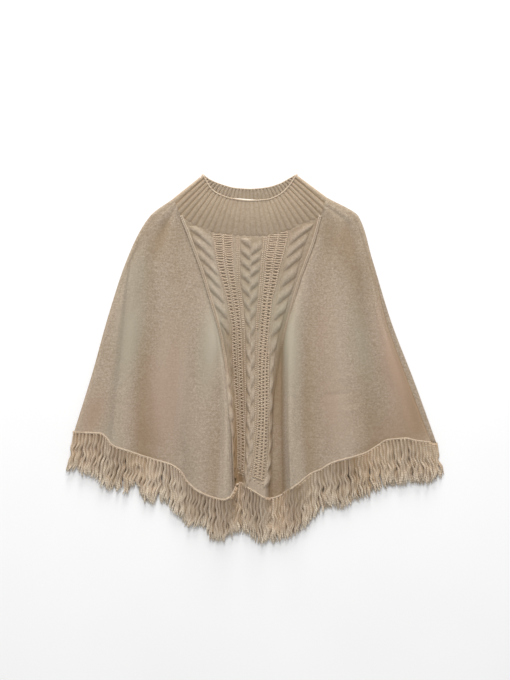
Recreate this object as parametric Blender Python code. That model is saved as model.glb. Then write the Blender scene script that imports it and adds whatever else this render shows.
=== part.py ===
"""Knitted poncho sweater, laid flat on its back, front side up.

The back lies flat on the surface. The front lies over it in soft folds that
deepen toward the hem, between a ribbed mock neck and a fringed hem.

Sizes are millimetres until the meshes are made, in metres. +X is to the right
of someone looking down at the front, +Y is toward the neck, +Z is up.
"""

import bpy
import numpy as np

METRES = 0.001

# --- cloth ---------------------------------------------------------------
CLOTH = 2.6            # wall of the plain knit
RIB_CLOTH = 3.0        # wall of the ribbed neck
BACK_TOP = 3.0         # upper face of the back, which lies on the surface
SEAM_GAP = 0.3         # clearance between neighbouring pieces
SIDE_ROLL = 8.0        # how far in from a side edge the front has rounded up to its full height
EDGING_WIDTH = 6.0     # crocheted edging along the hem, seen from above
TRIM_INSET = EDGING_WIDTH / 2 + SEAM_GAP   # from the hem line to the cloth, and to the fringe
EDGING_HEIGHT = 4.2
BACK_EDGING_HEIGHT = 3.2
FRINGE_DEPTH = 5.6     # depth of the mass of strands
BACK_FRINGE_TOP = 3.9
FRINGE_TIP_Z = 8.0     # mid-height of the front fringe at its tips
FRINGE_FLARE = 1.045   # the strands spread sideways by this much over their length
BACK_FRINGE_SHORTER = 9.0
TRIM_LOWEST = BACK_FRINGE_TOP + SEAM_GAP + FRINGE_DEPTH / 2   # the front's trim stays over the back's
COLLAR_HEIGHT = 12.5   # mid-height of the neck's front at its two edges
COLLAR_CROWN = 4.0     # how far the front of the neck bows up between its two edges

# --- label inside the back of the neck -----------------------------------
LABEL_SIZE = (84.0, 26.0, 0.7)
LABEL_CENTRE = (-14.0, 338.0)
LABEL_TURN = -0.075    # radians

# --- how finely the shapes are divided -----------------------------------
STEPS_PER_FOLD = 3
STEPS_PER_ROLL = 3
TOP_ROWS = (0.0, 0.03, 0.08)   # closer rows of the front, where it bends away from the seam
NEXT_ROW = 0.14
EVEN_ROWS = 15
SIDE_STEPS = 200
COLLAR_ROWS = 4
BACK_COLUMNS = 30
BACK_ROWS = 9
FRINGE_ROWS = 3
EDGING_SIDES = 6

# --- outlines, (x, y) from left to right ---------------------------------
CENTRING = 1.6         # the outlines are moved this far right, which centres the whole part on the origin
NECK_SEAM = ((-180, 354), (-165, 315), (-141, 299), (-108, 282), (-46, 272), (-13, 271),
             (18, 271), (66, 282), (101, 297), (141, 315), (154, 356))
NECK_SEAM_BACK = ((-180, 354), (-150, 326), (-100, 310), (-13, 303), (75, 310), (125, 327), (154, 356))
NECK_EDGE = ((-117, 404), (-97, 372), (-81, 361), (-55, 352), (-13, 347),
             (22, 349), (48, 358), (69, 375), (89, 404))
NECK_EDGE_BACK = ((-117, 405), (-102, 394), (-76, 383), (-45, 375), (-13, 373),
                  (22, 376), (53, 385), (75, 397), (89, 405))
HEM = ((-405, -161), (-341, -163), (-326, -174), (-317, -187), (-279, -202), (-249, -213),
       (-218, -222), (-187, -231), (-164, -247), (-150, -268), (-125, -290), (-90, -304),
       (-70, -307), (-57, -301), (-50, -288), (-44, -277), (-32, -272), (-22, -278),
       (-4, -289), (18, -303), (33, -306), (51, -301), (70, -288), (86, -276), (121, -251),
       (141, -242), (167, -227), (209, -215), (242, -205), (266, -191), (288, -178),
       (328, -174), (350, -179), (398, -185))
HEM_BACK = ((-405, -160), (-341, -168), (-249, -206), (-150, -246), (-70, -268), (10, -278),
            (70, -272), (150, -238), (242, -200), (328, -178), (400, -186))
FRINGE_TIPS = ((-418, -244), (-392, -249), (-365, -257), (-330, -284), (-290, -293), (-273, -278),
               (-260, -282), (-246, -315), (-194, -322), (-167, -348), (-145, -370), (-117, -368),
               (-92, -398), (-55, -388), (-22, -382), (9, -405), (31, -400), (97, -381),
               (123, -356), (145, -332), (176, -326), (227, -312), (262, -295), (288, -279),
               (326, -273), (361, -271), (409, -266))

# --- lines of the front that run from the neck seam to the hem ------------
# DOWN is how far down each column of the table is, from 0 at the seam to 1 at the hem.
# seam: where the line starts, measured along the neck seam from its left end.
# x:    its place across at each of the later stations.
# z:    the height of the middle of the cloth at every station.
DOWN = (0.0, 0.08, 0.25, 0.5, 0.75, 1.0)
LEFT_LINES = (
    # name          seam   x                                z
    ("side",        8, (-234, -281, -324, -360, -400), (10, 10, 10, 10, 10, 9)),
    ("outer ridge", 13, (-215, -275, -284, -294, -306), (11, 11, 14, 16, 18, 20)),
    ("outer trough", 17, (-200, -235, -242, -244, -246), (11, 10, 12, 10, 8.5, 8)),
    ("broad middle", 22, (-182, -194, -189, -189, -189), (12, 13, 15, 16, 16, 17)),
    ("inner ridge", 28, (-163, -132, -99, -119, -125), (12, 13, 15, 20, 22, 24)),
    ("inner trough", 32, (-154, -119, -84, -81, -92), (12, 13, 14.5, 18, 19.5, 23)),
    ("lip",         37, (-149, -113, -77, -64, -67), (12, 13, 14, 18, 25, 31)),
)
CABLE_LINES = (
    ("left border", 42, (-145, -109, -71, -56, -50), (12, 13, 14, 16, 20, 22)),
    ("left valley", 124, (-89, -81, -62, -44, -42), (12, 13, 12.5, 10.5, 8.5, 8)),
    ("left flank", 179, (-36, -35, -27, -20, -24), (13, 14, 14, 14, 17, 20)),
    ("crest",       212, (-5, -8, -10, -9, -11), (13, 14.5, 15, 17, 21, 26)),
    ("right flank", 244, (26, 20, 7, 0, 0), (13, 14.5, 15, 17, 22, 28)),
    ("right cable", 288, (69, 57, 33, 21, 17), (12, 13, 13.5, 15, 20, 25)),
)
RIGHT_LINES = (
    ("right border", 366, (128, 90, 51, 36, 34), (12, 12.5, 12.5, 11, 9.5, 9)),
    ("right valley", 370, (133, 95, 56, 51, 53), (12, 12.5, 12, 10, 8, 8)),
    ("lip",         373, (136, 99, 64, 64, 69), (12, 13, 13.5, 15, 17, 19)),
    ("inner ridge", 376, (142, 108, 78, 76, 82), (12, 13.5, 15, 21, 27, 31)),
    ("inner trough", 380, (156, 134, 114, 112, 121), (12, 13, 14.5, 16, 17, 20)),
    ("broad ridge", 387, (178, 176, 176, 180, 187), (12, 13, 16, 19, 21, 23)),
    ("outer trough", 393, (202, 224, 235, 249, 264), (11, 10, 12.5, 11, 9.5, 9)),
    ("outer strip", 397, (213, 242, 268, 299, 328), (11, 11, 12.5, 13, 13.5, 15)),
    ("side",        401, (225, 254, 286, 334, 385), (10, 10, 10, 9, 8.5, 9)),
)
LINES = LEFT_LINES + CABLE_LINES + RIGHT_LINES
SEAM_LENGTH = 409.0
FIRST_CABLE_LINE = len(LEFT_LINES)
FIRST_RIGHT_LINE = FIRST_CABLE_LINE + len(CABLE_LINES)
LAST_LINE = len(LINES) - 1
BACK_RIGHT_SIDE = (226, 255, 296, 348, 397)   # the back reaches past the front here

# --- colours --------------------------------------------------------------
OATMEAL = (0.42, 0.335, 0.25, 1.0)
OATMEAL_LIGHT = (0.50, 0.41, 0.30, 1.0)
LABEL_WHITE = (0.75, 0.71, 0.62, 1.0)
WOOL_ROUGHNESS = 0.95
SHARP_ANGLE = 50       # degrees between faces past which an edge is drawn sharp


def smooth(knots, values, at):
    """A cubic curve through values at knots that never overshoots them, read at the places in at."""
    knots = np.asarray(knots, float)
    values = np.asarray(values, float)
    at = np.asarray(at, float)
    wide = (-1,) + (1,) * (values.ndim - 1)
    step = np.diff(knots).reshape(wide)
    rise = np.diff(values, axis=0) / step
    slope = np.zeros_like(values)
    onward = rise[:-1] * rise[1:] > 0
    total = np.where(onward, rise[:-1] + rise[1:], 1.0)
    slope[1:-1] = np.where(onward, 2.0 * rise[:-1] * rise[1:] / total, 0.0)
    slope[0] = rise[0]
    slope[-1] = rise[-1]
    first = np.clip(np.searchsorted(knots, at, side="right") - 1, 0, len(knots) - 2)
    span = step[first]
    t = (at - knots[first]).reshape(wide) / span
    return (values[first] * (1 + 2 * t) * (1 - t) ** 2
            + values[first + 1] * t ** 2 * (3 - 2 * t)
            + slope[first] * span * t * (1 - t) ** 2
            + slope[first + 1] * span * t ** 2 * (t - 1))


def plan_curve(points, share):
    """Points at shares 0 to 1 of the way along a smooth outline."""
    points = np.asarray(points, float)
    travelled = np.concatenate(([0.0], np.cumsum(np.linalg.norm(np.diff(points, axis=0), axis=1))))
    return smooth(travelled / travelled[-1], points, share)


def unit(vectors):
    return vectors / np.linalg.norm(vectors, axis=-1, keepdims=True)


def height_on(outline, x):
    """y of an outline at x."""
    xs, ys = np.asarray(outline, float).T
    return smooth(xs, ys, x)


def inward_of(outline, x):
    """Plan directions square to a hem at x, toward the cloth, averaged over the width of the edging."""
    reach = EDGING_WIDTH / 2
    rise = height_on(outline, x + reach) - height_on(outline, x - reach)
    return unit(np.stack((-rise, np.full(len(x), 2 * reach)), axis=1))


def beside(outline, x, distance):
    """Plan points a given distance in from a hem, or out from it where the distance is negative."""
    on_line = np.stack((x, height_on(outline, x)), axis=1)
    return on_line + inward_of(outline, x) * np.reshape(distance, (-1, 1))


def side_line(line_x, share, hem):
    """Plan points and inward normals down a side edge, from the neck seam to the hem."""
    start = np.asarray(NECK_SEAM[0 if line_x[-1] < 0 else -1], float)
    x = smooth(DOWN, (start[0],) + tuple(line_x), share)
    foot = height_on(hem, np.array([line_x[-1]], float))[0]
    edge = np.stack((x, start[1] + (foot - start[1]) * share), axis=1)
    along = unit(np.gradient(edge, axis=0))
    inward = np.stack((-along[:, 1], along[:, 0]), axis=1)
    return edge, inward * (1.0 if line_x[-1] < 0 else -1.0)


def front_surface(columns, rows, hem_inset):
    """The middle of the front's cloth, as a grid of points, rows by columns.

    A column from 0 to LAST_LINE lies on or between the lines of the table. Columns -1 to 0 and
    LAST_LINE to LAST_LINE + 1 are the rolled sides, which turn down to meet the back.
    """
    fine = np.linspace(0.0, 1.0, SIDE_STEPS + 1)
    seam_place = np.array([line[1] for line in LINES]) / SEAM_LENGTH
    seam_points = plan_curve(NECK_SEAM, seam_place)
    line_x = np.array([(seam_points[i, 0],) + line[2] for i, line in enumerate(LINES)])
    line_z = np.array([line[3] for line in LINES])

    x = smooth(DOWN, line_x.T, rows)
    foot = height_on(HEM, line_x[:, -1])
    y = seam_points[:, 1] + (foot - seam_points[:, 1]) * rows[:, None]
    z = smooth(DOWN, line_z.T, rows)

    ends = ((0, LINES[0]), (LAST_LINE, LINES[-1]))
    edges = {}
    for index, line in ends:
        fine_edge, fine_inward = side_line(line[2], fine, HEM)
        edge = np.stack([np.interp(rows, fine, fine_edge[:, axis]) for axis in (0, 1)], axis=1)
        inward = unit(np.stack([np.interp(rows, fine, fine_inward[:, axis]) for axis in (0, 1)], axis=1))
        edges[index] = (edge, inward)
        top = edge + inward * SIDE_ROLL
        x[:, index] = top[:, 0]
        y[:, index] = top[:, 1]

    inner = np.clip(columns, 0, LAST_LINE)
    knots = np.arange(len(LINES))
    grid = np.stack([smooth(knots, part.T, inner).T for part in (x, y, z)], axis=2)

    roll = np.where(columns < 0, columns + 1, LAST_LINE + 1 - columns)
    seam_at = smooth(knots, seam_place, inner) * SEAM_LENGTH
    floor = BACK_TOP + SEAM_GAP
    for index in (0, LAST_LINE):
        rolled = (columns < 0) if index == 0 else (columns > LAST_LINE)
        turn = roll[rolled] * np.pi / 2
        inset = SIDE_ROLL * (1 - np.cos(turn)) + CLOTH / 2 * (1 - roll[rolled])
        edge, inward = edges[index]
        grid[:, rolled, :2] = edge[:, None] + inward[:, None] * inset[None, :, None]
        grid[:, rolled, 2] = floor + (z[:, index, None] - floor) * np.sin(turn)
        seam_at[rolled] = inset if index == 0 else SEAM_LENGTH - inset

    to_seam = plan_curve(NECK_SEAM, seam_at / SEAM_LENGTH) - grid[0, :, :2]
    fade = np.clip(1 - rows / DOWN[1], 0, 1) ** 2
    grid[:, :, :2] += to_seam[None] * fade[:, None, None]
    to_hem = beside(HEM, grid[-1, :, 0], hem_inset) - grid[-1, :, :2]
    grid[:, :, :2] += to_hem[None] * rows[:, None, None]
    return grid, seam_at


def collar_surface(seam_at, rows, seam, edge, height, crown):
    """The middle of a neck piece, from its top edge down to the seam, in the seam's columns."""
    share = seam_at / SEAM_LENGTH
    top = plan_curve(edge, share)
    foot = plan_curve(seam, share)
    plan = top[None] + (foot - top)[None] * rows[:, None, None]
    z = height + crown * np.sin(np.pi * rows)[:, None]
    return np.concatenate((plan, np.broadcast_to(z, plan.shape[:2])[:, :, None]), axis=2)


def side_rounding(seam_at):
    """0 at the two side edges, rounding up to 1 at SIDE_ROLL in from them."""
    inset = np.minimum(np.minimum(seam_at, SEAM_LENGTH - seam_at), SIDE_ROLL)
    return np.sqrt(1 - (1 - inset / SIDE_ROLL) ** 2)


def normals_of(grid):
    across = np.gradient(grid, axis=1)
    down = np.gradient(grid, axis=0)
    return unit(np.cross(down, across))


def upright_normals(grid):
    upright = np.zeros_like(grid)
    upright[:, :, 2] = 1
    return upright


def level(normals, column):
    """Turns the normals of one column to lie level, so that its rim stands flat on the back."""
    normals[:, column, 2] = 0
    normals[:, column] = unit(normals[:, column])


def add_mesh(name, points, faces, colour):
    mesh = bpy.data.meshes.new(name)
    mesh.from_pydata(((np.asarray(points) + (CENTRING, 0, 0)) * METRES).tolist(), [], faces)
    mesh.validate()
    mesh.shade_smooth()
    mesh.set_sharp_from_angle(angle=np.radians(SHARP_ANGLE))
    piece = bpy.data.objects.new(name, mesh)
    bpy.context.scene.collection.objects.link(piece)
    material = bpy.data.materials.new(name)
    material.use_nodes = True
    shader = material.node_tree.nodes["Principled BSDF"]
    shader.inputs["Base Color"].default_value = colour
    shader.inputs["Roughness"].default_value = WOOL_ROUGHNESS
    shader.inputs["Metallic"].default_value = 0.0
    mesh.materials.append(material)
    return piece


def add_wall(name, upper, lower, colour):
    """A closed sheet between two grids of points, with a rim all round."""
    rows, columns = upper.shape[:2]
    count = rows * columns

    def corner(row, column, sheet):
        return sheet * count + row * columns + column

    faces = []
    for r in range(rows - 1):
        for c in range(columns - 1):
            around = ((r, c), (r + 1, c), (r + 1, c + 1), (r, c + 1))
            faces.append(tuple(corner(*place, 0) for place in around))
            faces.append(tuple(corner(*place, 1) for place in around[::-1]))
    rim = [(0, c) for c in range(columns)]
    rim += [(r, columns - 1) for r in range(1, rows)]
    rim += [(rows - 1, c) for c in range(columns - 2, -1, -1)]
    rim += [(r, 0) for r in range(rows - 2, 0, -1)]
    for here, after in zip(rim, rim[1:] + rim[:1]):
        faces.append((corner(*here, 0), corner(*after, 0), corner(*after, 1), corner(*here, 1)))
    points = np.concatenate((upper.reshape(-1, 3), lower.reshape(-1, 3)))
    return add_mesh(name, points, faces, colour)


def add_sheet(name, grid, normals, thickness, colour):
    half = normals * thickness / 2
    return add_wall(name, grid + half, grid - half, colour)


def cut_from(grid, normals, first, last):
    """The columns of one piece, drawn back by half the seam gap where it meets its neighbour."""
    piece = grid[:, first:last + 1].copy()
    if first > 0:
        across = unit(grid[:, first + 1] - grid[:, first - 1])
        piece[:, 0] += across * SEAM_GAP / 2
    if last < grid.shape[1] - 1:
        across = unit(grid[:, last + 1] - grid[:, last - 1])
        piece[:, -1] -= across * SEAM_GAP / 2
    return piece, normals[:, first:last + 1]


def draw_back(grid, row, toward):
    """Moves one end row by half the seam gap, toward another row, in plan."""
    step = grid[toward] - grid[row]
    step[:, 2] = 0
    grid[row] += unit(step) * SEAM_GAP / 2


def add_edging(name, path, inward, height, colour):
    """A rounded cord along the hem: an oval section swept along the path."""
    level_side = np.concatenate((inward, np.zeros((len(path), 1))), axis=1)
    upward = unit(np.cross(np.gradient(path, axis=0), level_side))
    turns = np.arange(EDGING_SIDES) * 2 * np.pi / EDGING_SIDES
    rings = (path[:, None]
             + level_side[:, None] * (np.cos(turns) * EDGING_WIDTH / 2)[None, :, None]
             + upward[:, None] * (np.sin(turns) * height / 2)[None, :, None])
    faces = []
    for r in range(len(path) - 1):
        for s in range(EDGING_SIDES):
            t = (s + 1) % EDGING_SIDES
            here = r * EDGING_SIDES
            after = here + EDGING_SIDES
            faces.append((here + s, here + t, after + t, after + s))
    last = (len(path) - 1) * EDGING_SIDES
    faces.append(tuple(range(EDGING_SIDES - 1, -1, -1)))
    faces.append(tuple(last + s for s in range(EDGING_SIDES)))
    return add_mesh(name, rings.reshape(-1, 3), faces, colour)


def fringe_surface(hem_points, shorter):
    """The middle of a band of fringe, from the edging down to the line of its tips."""
    start = hem_points.copy()
    tip_x = start[:, 0] * FRINGE_FLARE
    tip_y = height_on(FRINGE_TIPS, tip_x) + shorter
    tip = np.stack((tip_x, tip_y, np.full(len(tip_x), FRINGE_TIP_Z)), axis=1)
    share = np.linspace(0, 1, FRINGE_ROWS + 1)[:, None, None]
    band = start[None] + (tip - start)[None] * share
    droop = 1 - (1 - share[:, :, 0]) ** 2
    band[:, :, 2] = start[None, :, 2] + (FRINGE_TIP_Z - start[None, :, 2]) * droop
    return band


def front_columns():
    """Column places over the whole front, and where its three panels part."""
    roll_in = np.linspace(-1, 0, STEPS_PER_ROLL + 1)[:-1]
    middle = np.linspace(0, LAST_LINE, LAST_LINE * STEPS_PER_FOLD + 1)
    roll_out = np.linspace(LAST_LINE, LAST_LINE + 1, STEPS_PER_ROLL + 1)[1:]
    left_cut = STEPS_PER_ROLL + FIRST_CABLE_LINE * STEPS_PER_FOLD
    right_cut = STEPS_PER_ROLL + FIRST_RIGHT_LINE * STEPS_PER_FOLD
    return np.concatenate((roll_in, middle, roll_out)), left_cut, right_cut


def add_front():
    columns, left_cut, right_cut = front_columns()
    rows = np.concatenate((TOP_ROWS, np.linspace(NEXT_ROW, 1.0, EVEN_ROWS)))
    hem, _ = front_surface(columns, rows, 0.0)
    lean = np.sum(normals_of(hem)[-1, :, :2] * inward_of(HEM, hem[-1, :, 0]), axis=1)
    grid, seam_at = front_surface(columns, rows, TRIM_INSET + np.abs(lean) * CLOTH / 2)
    normals = normals_of(grid)
    level(normals, 0)
    level(normals, -1)
    draw_back(grid, 0, 1)
    last = len(columns) - 1
    for name, first, final in (("front_left_panel", 0, left_cut),
                               ("front_cable_panel", left_cut, right_cut),
                               ("front_right_panel", right_cut, last)):
        piece, piece_normals = cut_from(grid, normals, first, final)
        add_sheet(name, piece, piece_normals, CLOTH, OATMEAL)
    return seam_at, grid[0, :, 2], normals[0]


def add_collar_front(seam_at, seam_z, seam_normals):
    rows = np.linspace(0, 1, COLLAR_ROWS + 1)
    grid = collar_surface(seam_at, rows, NECK_SEAM, NECK_EDGE, COLLAR_HEIGHT, COLLAR_CROWN)
    floor = BACK_TOP + SEAM_GAP
    grid[:, :, 2] = floor + (grid[:, :, 2] - floor) * side_rounding(seam_at)[None]
    grid[:, :, 2] += (seam_z - grid[-1, :, 2])[None] * rows[:, None] ** 2
    normals = normals_of(grid)
    level(normals, 0)
    level(normals, -1)
    normals[-1] = seam_normals
    draw_back(grid, -1, -2)
    add_sheet("collar_front", grid, normals, RIB_CLOTH, OATMEAL_LIGHT)


def add_collar_back():
    seam_at = np.linspace(0, SEAM_LENGTH, BACK_COLUMNS + 1)
    rows = np.linspace(0, 1, COLLAR_ROWS + 1)
    grid = collar_surface(seam_at, rows, NECK_SEAM_BACK, NECK_EDGE_BACK, BACK_TOP / 2, 0.0)
    draw_back(grid, -1, -2)
    add_sheet("collar_back", grid, upright_normals(grid), BACK_TOP, OATMEAL_LIGHT)


def add_back_panel():
    rows = np.linspace(0, 1, BACK_ROWS + 1)
    share = np.linspace(0, 1, BACK_COLUMNS + 1)
    left, _ = side_line(LINES[0][2], rows, HEM_BACK)
    right, _ = side_line(BACK_RIGHT_SIDE, rows, HEM_BACK)
    plan = left[:, None] + (right - left)[:, None] * share[None, :, None]
    plan += (plan_curve(NECK_SEAM_BACK, share) - plan[0])[None] * ((1 - rows) ** 3)[:, None, None]
    to_hem = beside(HEM_BACK, plan[-1, :, 0], TRIM_INSET) - plan[-1]
    plan += to_hem[None] * rows[:, None, None]
    grid = np.concatenate((plan, np.full(plan.shape[:2] + (1,), BACK_TOP / 2)), axis=2)
    draw_back(grid, 0, 1)
    add_sheet("back_panel", grid, upright_normals(grid), BACK_TOP, OATMEAL)


def add_label():
    width, length, thickness = LABEL_SIZE
    corners = np.array([(-1, 1), (-1, -1), (1, -1), (1, 1)]) * (width / 2, length / 2)
    turn = np.array([(np.cos(LABEL_TURN), np.sin(LABEL_TURN)), (-np.sin(LABEL_TURN), np.cos(LABEL_TURN))])
    plan = (corners @ turn + LABEL_CENTRE)[[0, 3, 1, 2]].reshape(2, 2, 2)
    foot = BACK_TOP + SEAM_GAP
    lower = np.concatenate((plan, np.full((2, 2, 1), foot)), axis=2)
    upper = np.concatenate((plan, np.full((2, 2, 1), foot + thickness)), axis=2)
    add_wall("neck_label", upper, lower, LABEL_WHITE)


def add_hem_trim():
    """The edging and fringe of the front, then of the back."""
    columns, left_cut, right_cut = front_columns()
    hem, _ = front_surface(columns, np.array(DOWN), 0.0)
    path = hem[-1]
    path[:, 2] = np.maximum(path[:, 2], TRIM_LOWEST)
    add_edging("hem_edging_front", path, inward_of(HEM, path[:, 0]), EDGING_HEIGHT, OATMEAL_LIGHT)

    start = path.copy()
    start[:, :2] = beside(HEM, path[:, 0], -TRIM_INSET)
    band = fringe_surface(start, 0.0)
    upright = upright_normals(band)
    for name, first, final in (("fringe_left", 0, left_cut), ("fringe_middle", left_cut, right_cut),
                               ("fringe_right", right_cut, band.shape[1] - 1)):
        piece, piece_normals = cut_from(band, upright, first, final)
        add_sheet(name, piece, piece_normals, FRINGE_DEPTH, OATMEAL_LIGHT)

    x = np.linspace(LINES[0][2][-1], BACK_RIGHT_SIDE[-1], BACK_COLUMNS + 1)
    path = np.stack((x, height_on(HEM_BACK, x), np.full(len(x), BACK_EDGING_HEIGHT / 2 + SEAM_GAP)), axis=1)
    add_edging("hem_edging_back", path, inward_of(HEM_BACK, x), BACK_EDGING_HEIGHT, OATMEAL_LIGHT)

    start = path.copy()
    start[:, :2] = beside(HEM_BACK, x, -TRIM_INSET)
    band = fringe_surface(start, BACK_FRINGE_SHORTER)
    upper = band.copy()
    upper[:, :, 2] = BACK_FRINGE_TOP
    lower = band.copy()
    lower[:, :, 2] = 0
    add_wall("fringe_back", upper, lower, OATMEAL_LIGHT)


def main():
    for old in list(bpy.data.objects):
        bpy.data.objects.remove(old, do_unlink=True)
    seam_at, seam_z, seam_normals = add_front()
    add_collar_front(seam_at, seam_z, seam_normals)
    add_collar_back()
    add_back_panel()
    add_label()
    add_hem_trim()


main()
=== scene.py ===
"""Looks of the knitted poncho sweater: knitted panels, cables, rib, edging and fringe, all laid flat."""
import math

import bpy
import numpy as np
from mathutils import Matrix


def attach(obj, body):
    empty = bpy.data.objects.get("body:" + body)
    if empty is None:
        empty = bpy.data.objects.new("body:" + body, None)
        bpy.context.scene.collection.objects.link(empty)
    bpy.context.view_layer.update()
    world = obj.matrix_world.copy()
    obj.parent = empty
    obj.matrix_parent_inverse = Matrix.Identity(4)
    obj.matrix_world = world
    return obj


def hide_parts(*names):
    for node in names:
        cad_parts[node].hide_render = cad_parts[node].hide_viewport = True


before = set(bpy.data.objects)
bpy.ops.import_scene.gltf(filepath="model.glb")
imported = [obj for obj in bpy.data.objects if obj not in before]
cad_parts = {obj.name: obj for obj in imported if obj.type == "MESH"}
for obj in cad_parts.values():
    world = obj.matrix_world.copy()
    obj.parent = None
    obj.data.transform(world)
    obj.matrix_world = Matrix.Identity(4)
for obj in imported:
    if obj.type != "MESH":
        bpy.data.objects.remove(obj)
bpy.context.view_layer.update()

METRES = 0.001
RNG = np.random.default_rng(41)

# --- the poncho's sizes, in millimetres, as its CAD has them ----------------
CLOTH = 2.6
RIB_CLOTH = 3.0
BACK_TOP = 3.0
SEAM_GAP = 0.3
FRONT_FOOT = BACK_TOP + SEAM_GAP    # the front's rolled sides turn down to this height
SIDE_ROLL = 8.0
EDGING_WIDTH = 6.0
EDGING_HEIGHT = 4.2
BACK_EDGING_HEIGHT = 3.2
FRINGE_FLARE = 1.045
COLLAR_CROWN = 4.0
CENTRING = 1.6
SEAM_LENGTH = 409.0
COLLAR_HEIGHT = 12.5

# outlines, (x, y) from left to right
NECK_SEAM = ((-180, 354), (-165, 315), (-141, 299), (-108, 282), (-46, 272), (-13, 271),
             (18, 271), (66, 282), (101, 297), (141, 315), (154, 356))
NECK_SEAM_BACK = ((-180, 354), (-150, 326), (-100, 310), (-13, 303), (75, 310), (125, 327), (154, 356))
NECK_EDGE = ((-117, 404), (-97, 372), (-81, 361), (-55, 352), (-13, 347),
             (22, 349), (48, 358), (69, 375), (89, 404))
NECK_EDGE_BACK = ((-117, 405), (-102, 394), (-76, 383), (-45, 375), (-13, 373),
                  (22, 376), (53, 385), (75, 397), (89, 405))
HEM = ((-405, -161), (-341, -163), (-326, -174), (-317, -187), (-279, -202), (-249, -213),
       (-218, -222), (-187, -231), (-164, -247), (-150, -268), (-125, -290), (-90, -304),
       (-70, -307), (-57, -301), (-50, -288), (-44, -277), (-32, -272), (-22, -278),
       (-4, -289), (18, -303), (33, -306), (51, -301), (70, -288), (86, -276), (121, -251),
       (141, -242), (167, -227), (209, -215), (242, -205), (266, -191), (288, -178),
       (328, -174), (350, -179), (398, -185))
HEM_BACK = ((-405, -160), (-341, -168), (-249, -206), (-150, -246), (-70, -268), (10, -278),
            (70, -272), (150, -238), (242, -200), (328, -178), (400, -186))
FRINGE_TIPS = ((-418, -244), (-392, -249), (-365, -257), (-330, -284), (-290, -293), (-273, -278),
               (-260, -282), (-246, -315), (-194, -322), (-167, -348), (-145, -370), (-117, -368),
               (-92, -398), (-55, -388), (-22, -382), (9, -405), (31, -400), (97, -381),
               (123, -356), (145, -332), (176, -326), (227, -312), (262, -295), (288, -279),
               (326, -273), (361, -271), (409, -266))

# lines of the front from the neck seam to the hem: name, place along the seam, then x and z at each station
DOWN = (0.0, 0.08, 0.25, 0.5, 0.75, 1.0)
LINES = (
    ("side",        8, (-234, -281, -324, -360, -400), (10, 10, 10, 10, 10, 9)),
    ("outer ridge", 13, (-215, -275, -284, -294, -306), (11, 11, 14, 16, 18, 20)),
    ("outer trough", 17, (-200, -235, -242, -244, -246), (11, 10, 12, 10, 8.5, 8)),
    ("broad middle", 22, (-182, -194, -189, -189, -189), (12, 13, 15, 16, 16, 17)),
    ("inner ridge", 28, (-163, -132, -99, -119, -125), (12, 13, 15, 20, 22, 24)),
    ("inner trough", 32, (-154, -119, -84, -81, -92), (12, 13, 14.5, 18, 19.5, 23)),
    ("lip",         37, (-149, -113, -77, -64, -67), (12, 13, 14, 18, 25, 31)),
    ("left border", 42, (-145, -109, -71, -56, -50), (12, 13, 14, 16, 20, 22)),
    ("left valley", 124, (-89, -81, -62, -44, -42), (12, 13, 12.5, 10.5, 8.5, 8)),
    ("left flank",  179, (-36, -35, -27, -20, -24), (13, 14, 14, 14, 17, 20)),
    ("crest",       212, (-5, -8, -10, -9, -11), (13, 14.5, 15, 17, 21, 26)),
    ("right flank", 244, (26, 20, 7, 0, 0), (13, 14.5, 15, 17, 22, 28)),
    ("right cable", 288, (69, 57, 33, 21, 17), (12, 13, 13.5, 15, 20, 25)),
    ("right border", 366, (128, 90, 51, 36, 34), (12, 12.5, 12.5, 11, 9.5, 9)),
    ("right valley", 370, (133, 95, 56, 51, 53), (12, 12.5, 12, 10, 8, 8)),
    ("lip",         373, (136, 99, 64, 64, 69), (12, 13, 13.5, 15, 17, 19)),
    ("inner ridge", 376, (142, 108, 78, 76, 82), (12, 13.5, 15, 21, 27, 31)),
    ("inner trough", 380, (156, 134, 114, 112, 121), (12, 13, 14.5, 16, 17, 20)),
    ("broad ridge", 387, (178, 176, 176, 180, 187), (12, 13, 16, 19, 21, 23)),
    ("outer trough", 393, (202, 224, 235, 249, 264), (11, 10, 12.5, 11, 9.5, 9)),
    ("outer strip", 397, (213, 242, 268, 299, 328), (11, 11, 12.5, 13, 13.5, 15)),
    ("side",        401, (225, 254, 286, 334, 385), (10, 10, 10, 9, 8.5, 9)),
)
LEFT_BORDER, RIGHT_BORDER = 7, 13     # the lines at the two edges of the cable panel
LAST_LINE = len(LINES) - 1
BACK_RIGHT_SIDE = (226, 255, 296, 348, 397)

# --- curves and surfaces -----------------------------------------------------


def smooth(knots, values, at):
    """A cubic curve through values at knots that never overshoots them, read at the places in at."""
    knots = np.asarray(knots, float)
    values = np.asarray(values, float)
    at = np.asarray(at, float)
    wide = (-1,) + (1,) * (values.ndim - 1)
    step = np.diff(knots).reshape(wide)
    rise = np.diff(values, axis=0) / step
    slope = np.zeros_like(values)
    onward = rise[:-1] * rise[1:] > 0
    total = np.where(onward, rise[:-1] + rise[1:], 1.0)
    slope[1:-1] = np.where(onward, 2.0 * rise[:-1] * rise[1:] / total, 0.0)
    slope[0] = rise[0]
    slope[-1] = rise[-1]
    first = np.clip(np.searchsorted(knots, at, side="right") - 1, 0, len(knots) - 2)
    span = step[first]
    t = (at - knots[first]).reshape(wide) / span
    return (values[first] * (1 + 2 * t) * (1 - t) ** 2
            + values[first + 1] * t ** 2 * (3 - 2 * t)
            + slope[first] * span * t * (1 - t) ** 2
            + slope[first + 1] * span * t ** 2 * (t - 1))


def part_way(value, start, end):
    """How far value is on its way from start to end, from 0 to 1."""
    return np.clip((value - start) / (end - start), 0, 1)


def lengths(paths):
    """How far each point lies along its path. The last two axes are points and coordinates."""
    step = np.linalg.norm(np.diff(paths, axis=-2), axis=-1)
    return np.concatenate((np.zeros(step.shape[:-1] + (1,)), np.cumsum(step, axis=-1)), axis=-1)


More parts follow.
